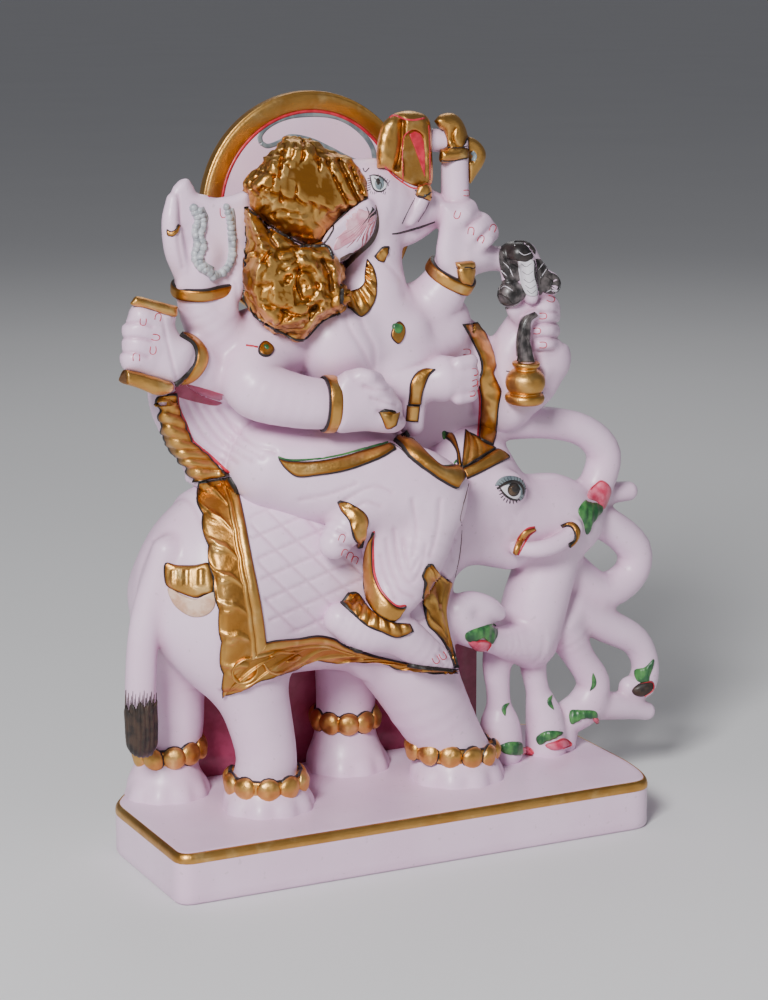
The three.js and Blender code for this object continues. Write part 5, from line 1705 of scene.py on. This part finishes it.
STEMS = (((505, 716), (504, 708), (509, 703)), ((552, 710), (549, 702), (552, 695)),
    ((590, 691), (594, 684), (593, 673)))
# The two strands of the rosary that hang from the palm
ROSARY_LEFT = ((196, 208), (200, 220), (197, 232), (200, 244), (197, 256), (202, 266), (211, 272))
ROSARY_RIGHT = ((226, 207), (229, 218), (231, 230), (232, 242), (232, 254), (229, 265), (221, 273), (212, 276))


def nail(red, u, v, turn):
    """A nail: a line bent like a horseshoe, turned by degrees."""
    a = math.radians(turn)
    x, y = np.array(((-2.6, 3.6), (-2.9, -0.6), (-1.6, -3.4), (1.6, -3.4), (2.9, -0.6), (2.6, 3.6))).T
    turned = np.stack((x * math.cos(a) - y * math.sin(a), x * math.sin(a) + y * math.cos(a)), axis=1)
    line(red, turned + (u, v), 0.32, 0.12)


# Nails of fingers and toes: the pixel of each, and its turn
NAILS = ((209, 202, -30), (219, 213, 170), (143, 322, 180), (158, 317, 20), (155, 337, 100), (152, 350, 180),
    (136, 357, 0), (457, 215, 200), (471, 231, 10), (481, 239, 20), (493, 228, 20), (467, 193, 90), (551, 299, 110),
    (543, 316, 90), (537, 331, 90), (543, 345, 90), (467, 352, 90), (474, 372, 80), (473, 382, 80), (471, 393, 80),
    (342, 538, 20), (345, 553, 20), (350, 556, 20), (355, 560, 20), (436, 660, 150), (443, 656, 150))


# The studio, in metres: the floor's size, the point all lights look at, each light's place, width and power in
# watts, and the light that comes from all round
FLOOR_SIZE = 120
LIT_POINT = Vector((0, 0, 0.15))
LIGHTS = (("key", Vector((-0.95, -0.95, 1.0)), 0.4, 33), ("fill", Vector((1.1, -1.1, 0.5)), 0.9, 1.3),
          ("back", Vector((0.6, 1.0, 1.2)), 0.7, 4))
AIR_COLOUR = (0.72, 0.73, 0.78, 1)
AIR_STRENGTH = 0.2


def camera():
    """The photograph's own view of the idol."""
    data = bpy.data.cameras.new("camera")
    data.sensor_width = SENSOR
    data.lens = FOCAL_PIXELS * SENSOR / max(PHOTO_WIDTH, PHOTO_HEIGHT)
    view = bpy.data.objects.new("camera", data)
    view.location = Vector(EYE * MM)
    view.rotation_mode = "QUATERNION"
    view.rotation_quaternion = Vector(SIGHT).to_track_quat("-Z", "Y")
    bpy.context.scene.collection.objects.link(view)
    bpy.context.scene.camera = view


def floor():
    bpy.ops.mesh.primitive_plane_add(size=FLOOR_SIZE)
    plane = bpy.context.object
    plane.name = "floor"
    material, tree, shader, place = finish("floor", Roughness=0.85)
    shade = noise(tree, place, 3, 2)
    feed(tree, shader, Base_Color=blend(tree, shade, (0.74, 0.74, 0.75, 1), (0.78, 0.78, 0.79, 1)))
    plane.data.materials.append(material)


def light(name, place, size, power):
    data = bpy.data.lights.new(name, "AREA")
    data.size = size
    data.energy = power
    lamp = bpy.data.objects.new(name, data)
    lamp.location = place
    lamp.rotation_mode = "QUATERNION"
    lamp.rotation_quaternion = (LIT_POINT - lamp.location).to_track_quat("-Z", "Y")
    bpy.context.scene.collection.objects.link(lamp)


stone = marble()
leaf = gold_leaf()
# The paints: a deep and a light shade of each, and how matt it is where that differs
PAINTS = (
    ("red", (0.42, 0.01, 0.025), (0.62, 0.03, 0.06)),
    ("black", (0.012, 0.01, 0.01), (0.03, 0.022, 0.02)),
    ("green", (0.015, 0.09, 0.03), (0.07, 0.24, 0.06)),
    ("grey", (0.12, 0.155, 0.18), (0.22, 0.27, 0.29)),
    ("brown", (0.05, 0.025, 0.02), (0.10, 0.055, 0.04)),
    ("pink", (0.55, 0.035, 0.09), (0.72, 0.16, 0.24)),
    ("maroon", (0.30, 0.035, 0.085), (0.36, 0.05, 0.115)),
    ("umber", (0.012, 0.007, 0.005), (0.05, 0.027, 0.016), 0.6),
    ("worn", (0.62, 0.36, 0.24), (0.78, 0.55, 0.42), 0.3),
    ("hood", (0.012, 0.01, 0.01), (0.13, 0.11, 0.11)),
    ("iris", (0.02, 0.012, 0.008), (0.10, 0.06, 0.035), 0.25),
    ("white", (0.70, 0.66, 0.72), (0.8, 0.76, 0.82), 0.3),
    ("ear", (0.3, 0.06, 0.09), (0.5, 0.16, 0.2)),
    ("blush", (0.66, 0.27, 0.36), (0.80, 0.48, 0.56)),
    ("bead", (0.25, 0.27, 0.30), (0.52, 0.53, 0.57)),
)
paints = {name: paint(f"{name}_paint", *shades) for name, *shades in PAINTS}

elephant = carve_elephant()
surface_of("elephant", elephant, stone, "marble")
rider = carve_rider()
surface_of("rider", rider, stone, "marble")
carved += [elephant, rider]

heaps = {"plinth_and_halo": Heap("plinth_and_halo", stone, "marble")}
for key in ("gold_halo", "gold_hair", "gold_elephant", "gold_rider", "gold_metal"):
    heaps[key] = Heap(key, leaf, "gold_leaf")
for key, name in (("wall", "maroon"), ("red_lines", "red"), ("black_lines", "black"), ("green_lines", "green"),
                  ("grey_lines", "grey"), ("brown_lines", "brown"), ("pink_petals", "pink"), ("umber_hair", "umber"),
                  ("rosary", "bead"), ("worn_gold", "worn"), ("hood", "hood"), ("iris", "iris"), ("whites", "white"),
                  ("blush", "blush"), ("ear_lines", "ear")):
    heaps[key] = Heap(key, paints[name], "painted_detail")

plinth(heaps["plinth_and_halo"], heaps["gold_halo"])
halo(heaps["plinth_and_halo"], heaps["gold_halo"], heaps["red_lines"])
wall(heaps["wall"])
disc = Turned(HALO_CENTRE, ((0, HALO_FACE), (HALO_RADIUS, HALO_FACE), (HALO_RADIUS, -HALO_FACE), (0, -HALO_FACE)),
              (0, 1, 0))
disc.low, disc.high = np.array((-66, 4, 206)), np.array((34, 32, 308))
carved.append(disc)
hair(heaps["gold_hair"])
gilded(heaps["gold_metal"])
carved.extend(later)
elephant_gold(heaps["gold_elephant"], heaps["black_lines"], heaps["red_lines"], heaps["worn_gold"])
rider_gold(heaps["gold_rider"])
painted(heaps["red_lines"], heaps["black_lines"], heaps["green_lines"], heaps["grey_lines"], heaps["brown_lines"],
        heaps["ear_lines"],
        heaps["wall"], heaps["umber_hair"], heaps["blush"])
eyes(heaps["black_lines"], heaps["iris"], heaps["whites"], heaps["grey_lines"])
snake(heaps["black_lines"], heaps["hood"], heaps["whites"])
for u, v, turn in NAILS:
    nail(heaps["red_lines"], u, v, turn)
for number, (leaves_px, petals_px, near, far) in enumerate(BUDS):
    bud = heaps["umber_hair"] if number == 5 else heaps["pink_petals"]
    flower(heaps["green_lines"], leaves_px, petals_px, near, far, bud, heaps["red_lines"])
for path in STEMS:
    line(heaps["green_lines"], path, 1.8, 0.4, 0.9)
for strand, across in ((ROSARY_LEFT, 2), (ROSARY_RIGHT, 1)):
    line(heaps["rosary"], strand, 4.4 if across == 2 else 3.0, 0.5)
    path = evenly(strand, 16)
    for row in range(across):
        shift = (row - (across - 1) / 2) * 5.5
        for place in on_stone(path + (shift, 3.0 * row), -30, 12):
            way = slope_at(place[None])[0]
            egg(heaps["rosary"], place + way * rng.uniform(0.2, 0.7), rng.uniform(1.3, 2.0, 3), np.eye(3), 12, 8)
for heap in heaps.values():
    heap.piece()
camera()
floor()
for lamp in LIGHTS:
    light(*lamp)
world = bpy.data.worlds.new("studio")
world.use_nodes = True
air = world.node_tree.nodes["Background"].inputs
air["Color"].default_value = AIR_COLOUR
air["Strength"].default_value = AIR_STRENGTH
bpy.context.scene.world = world
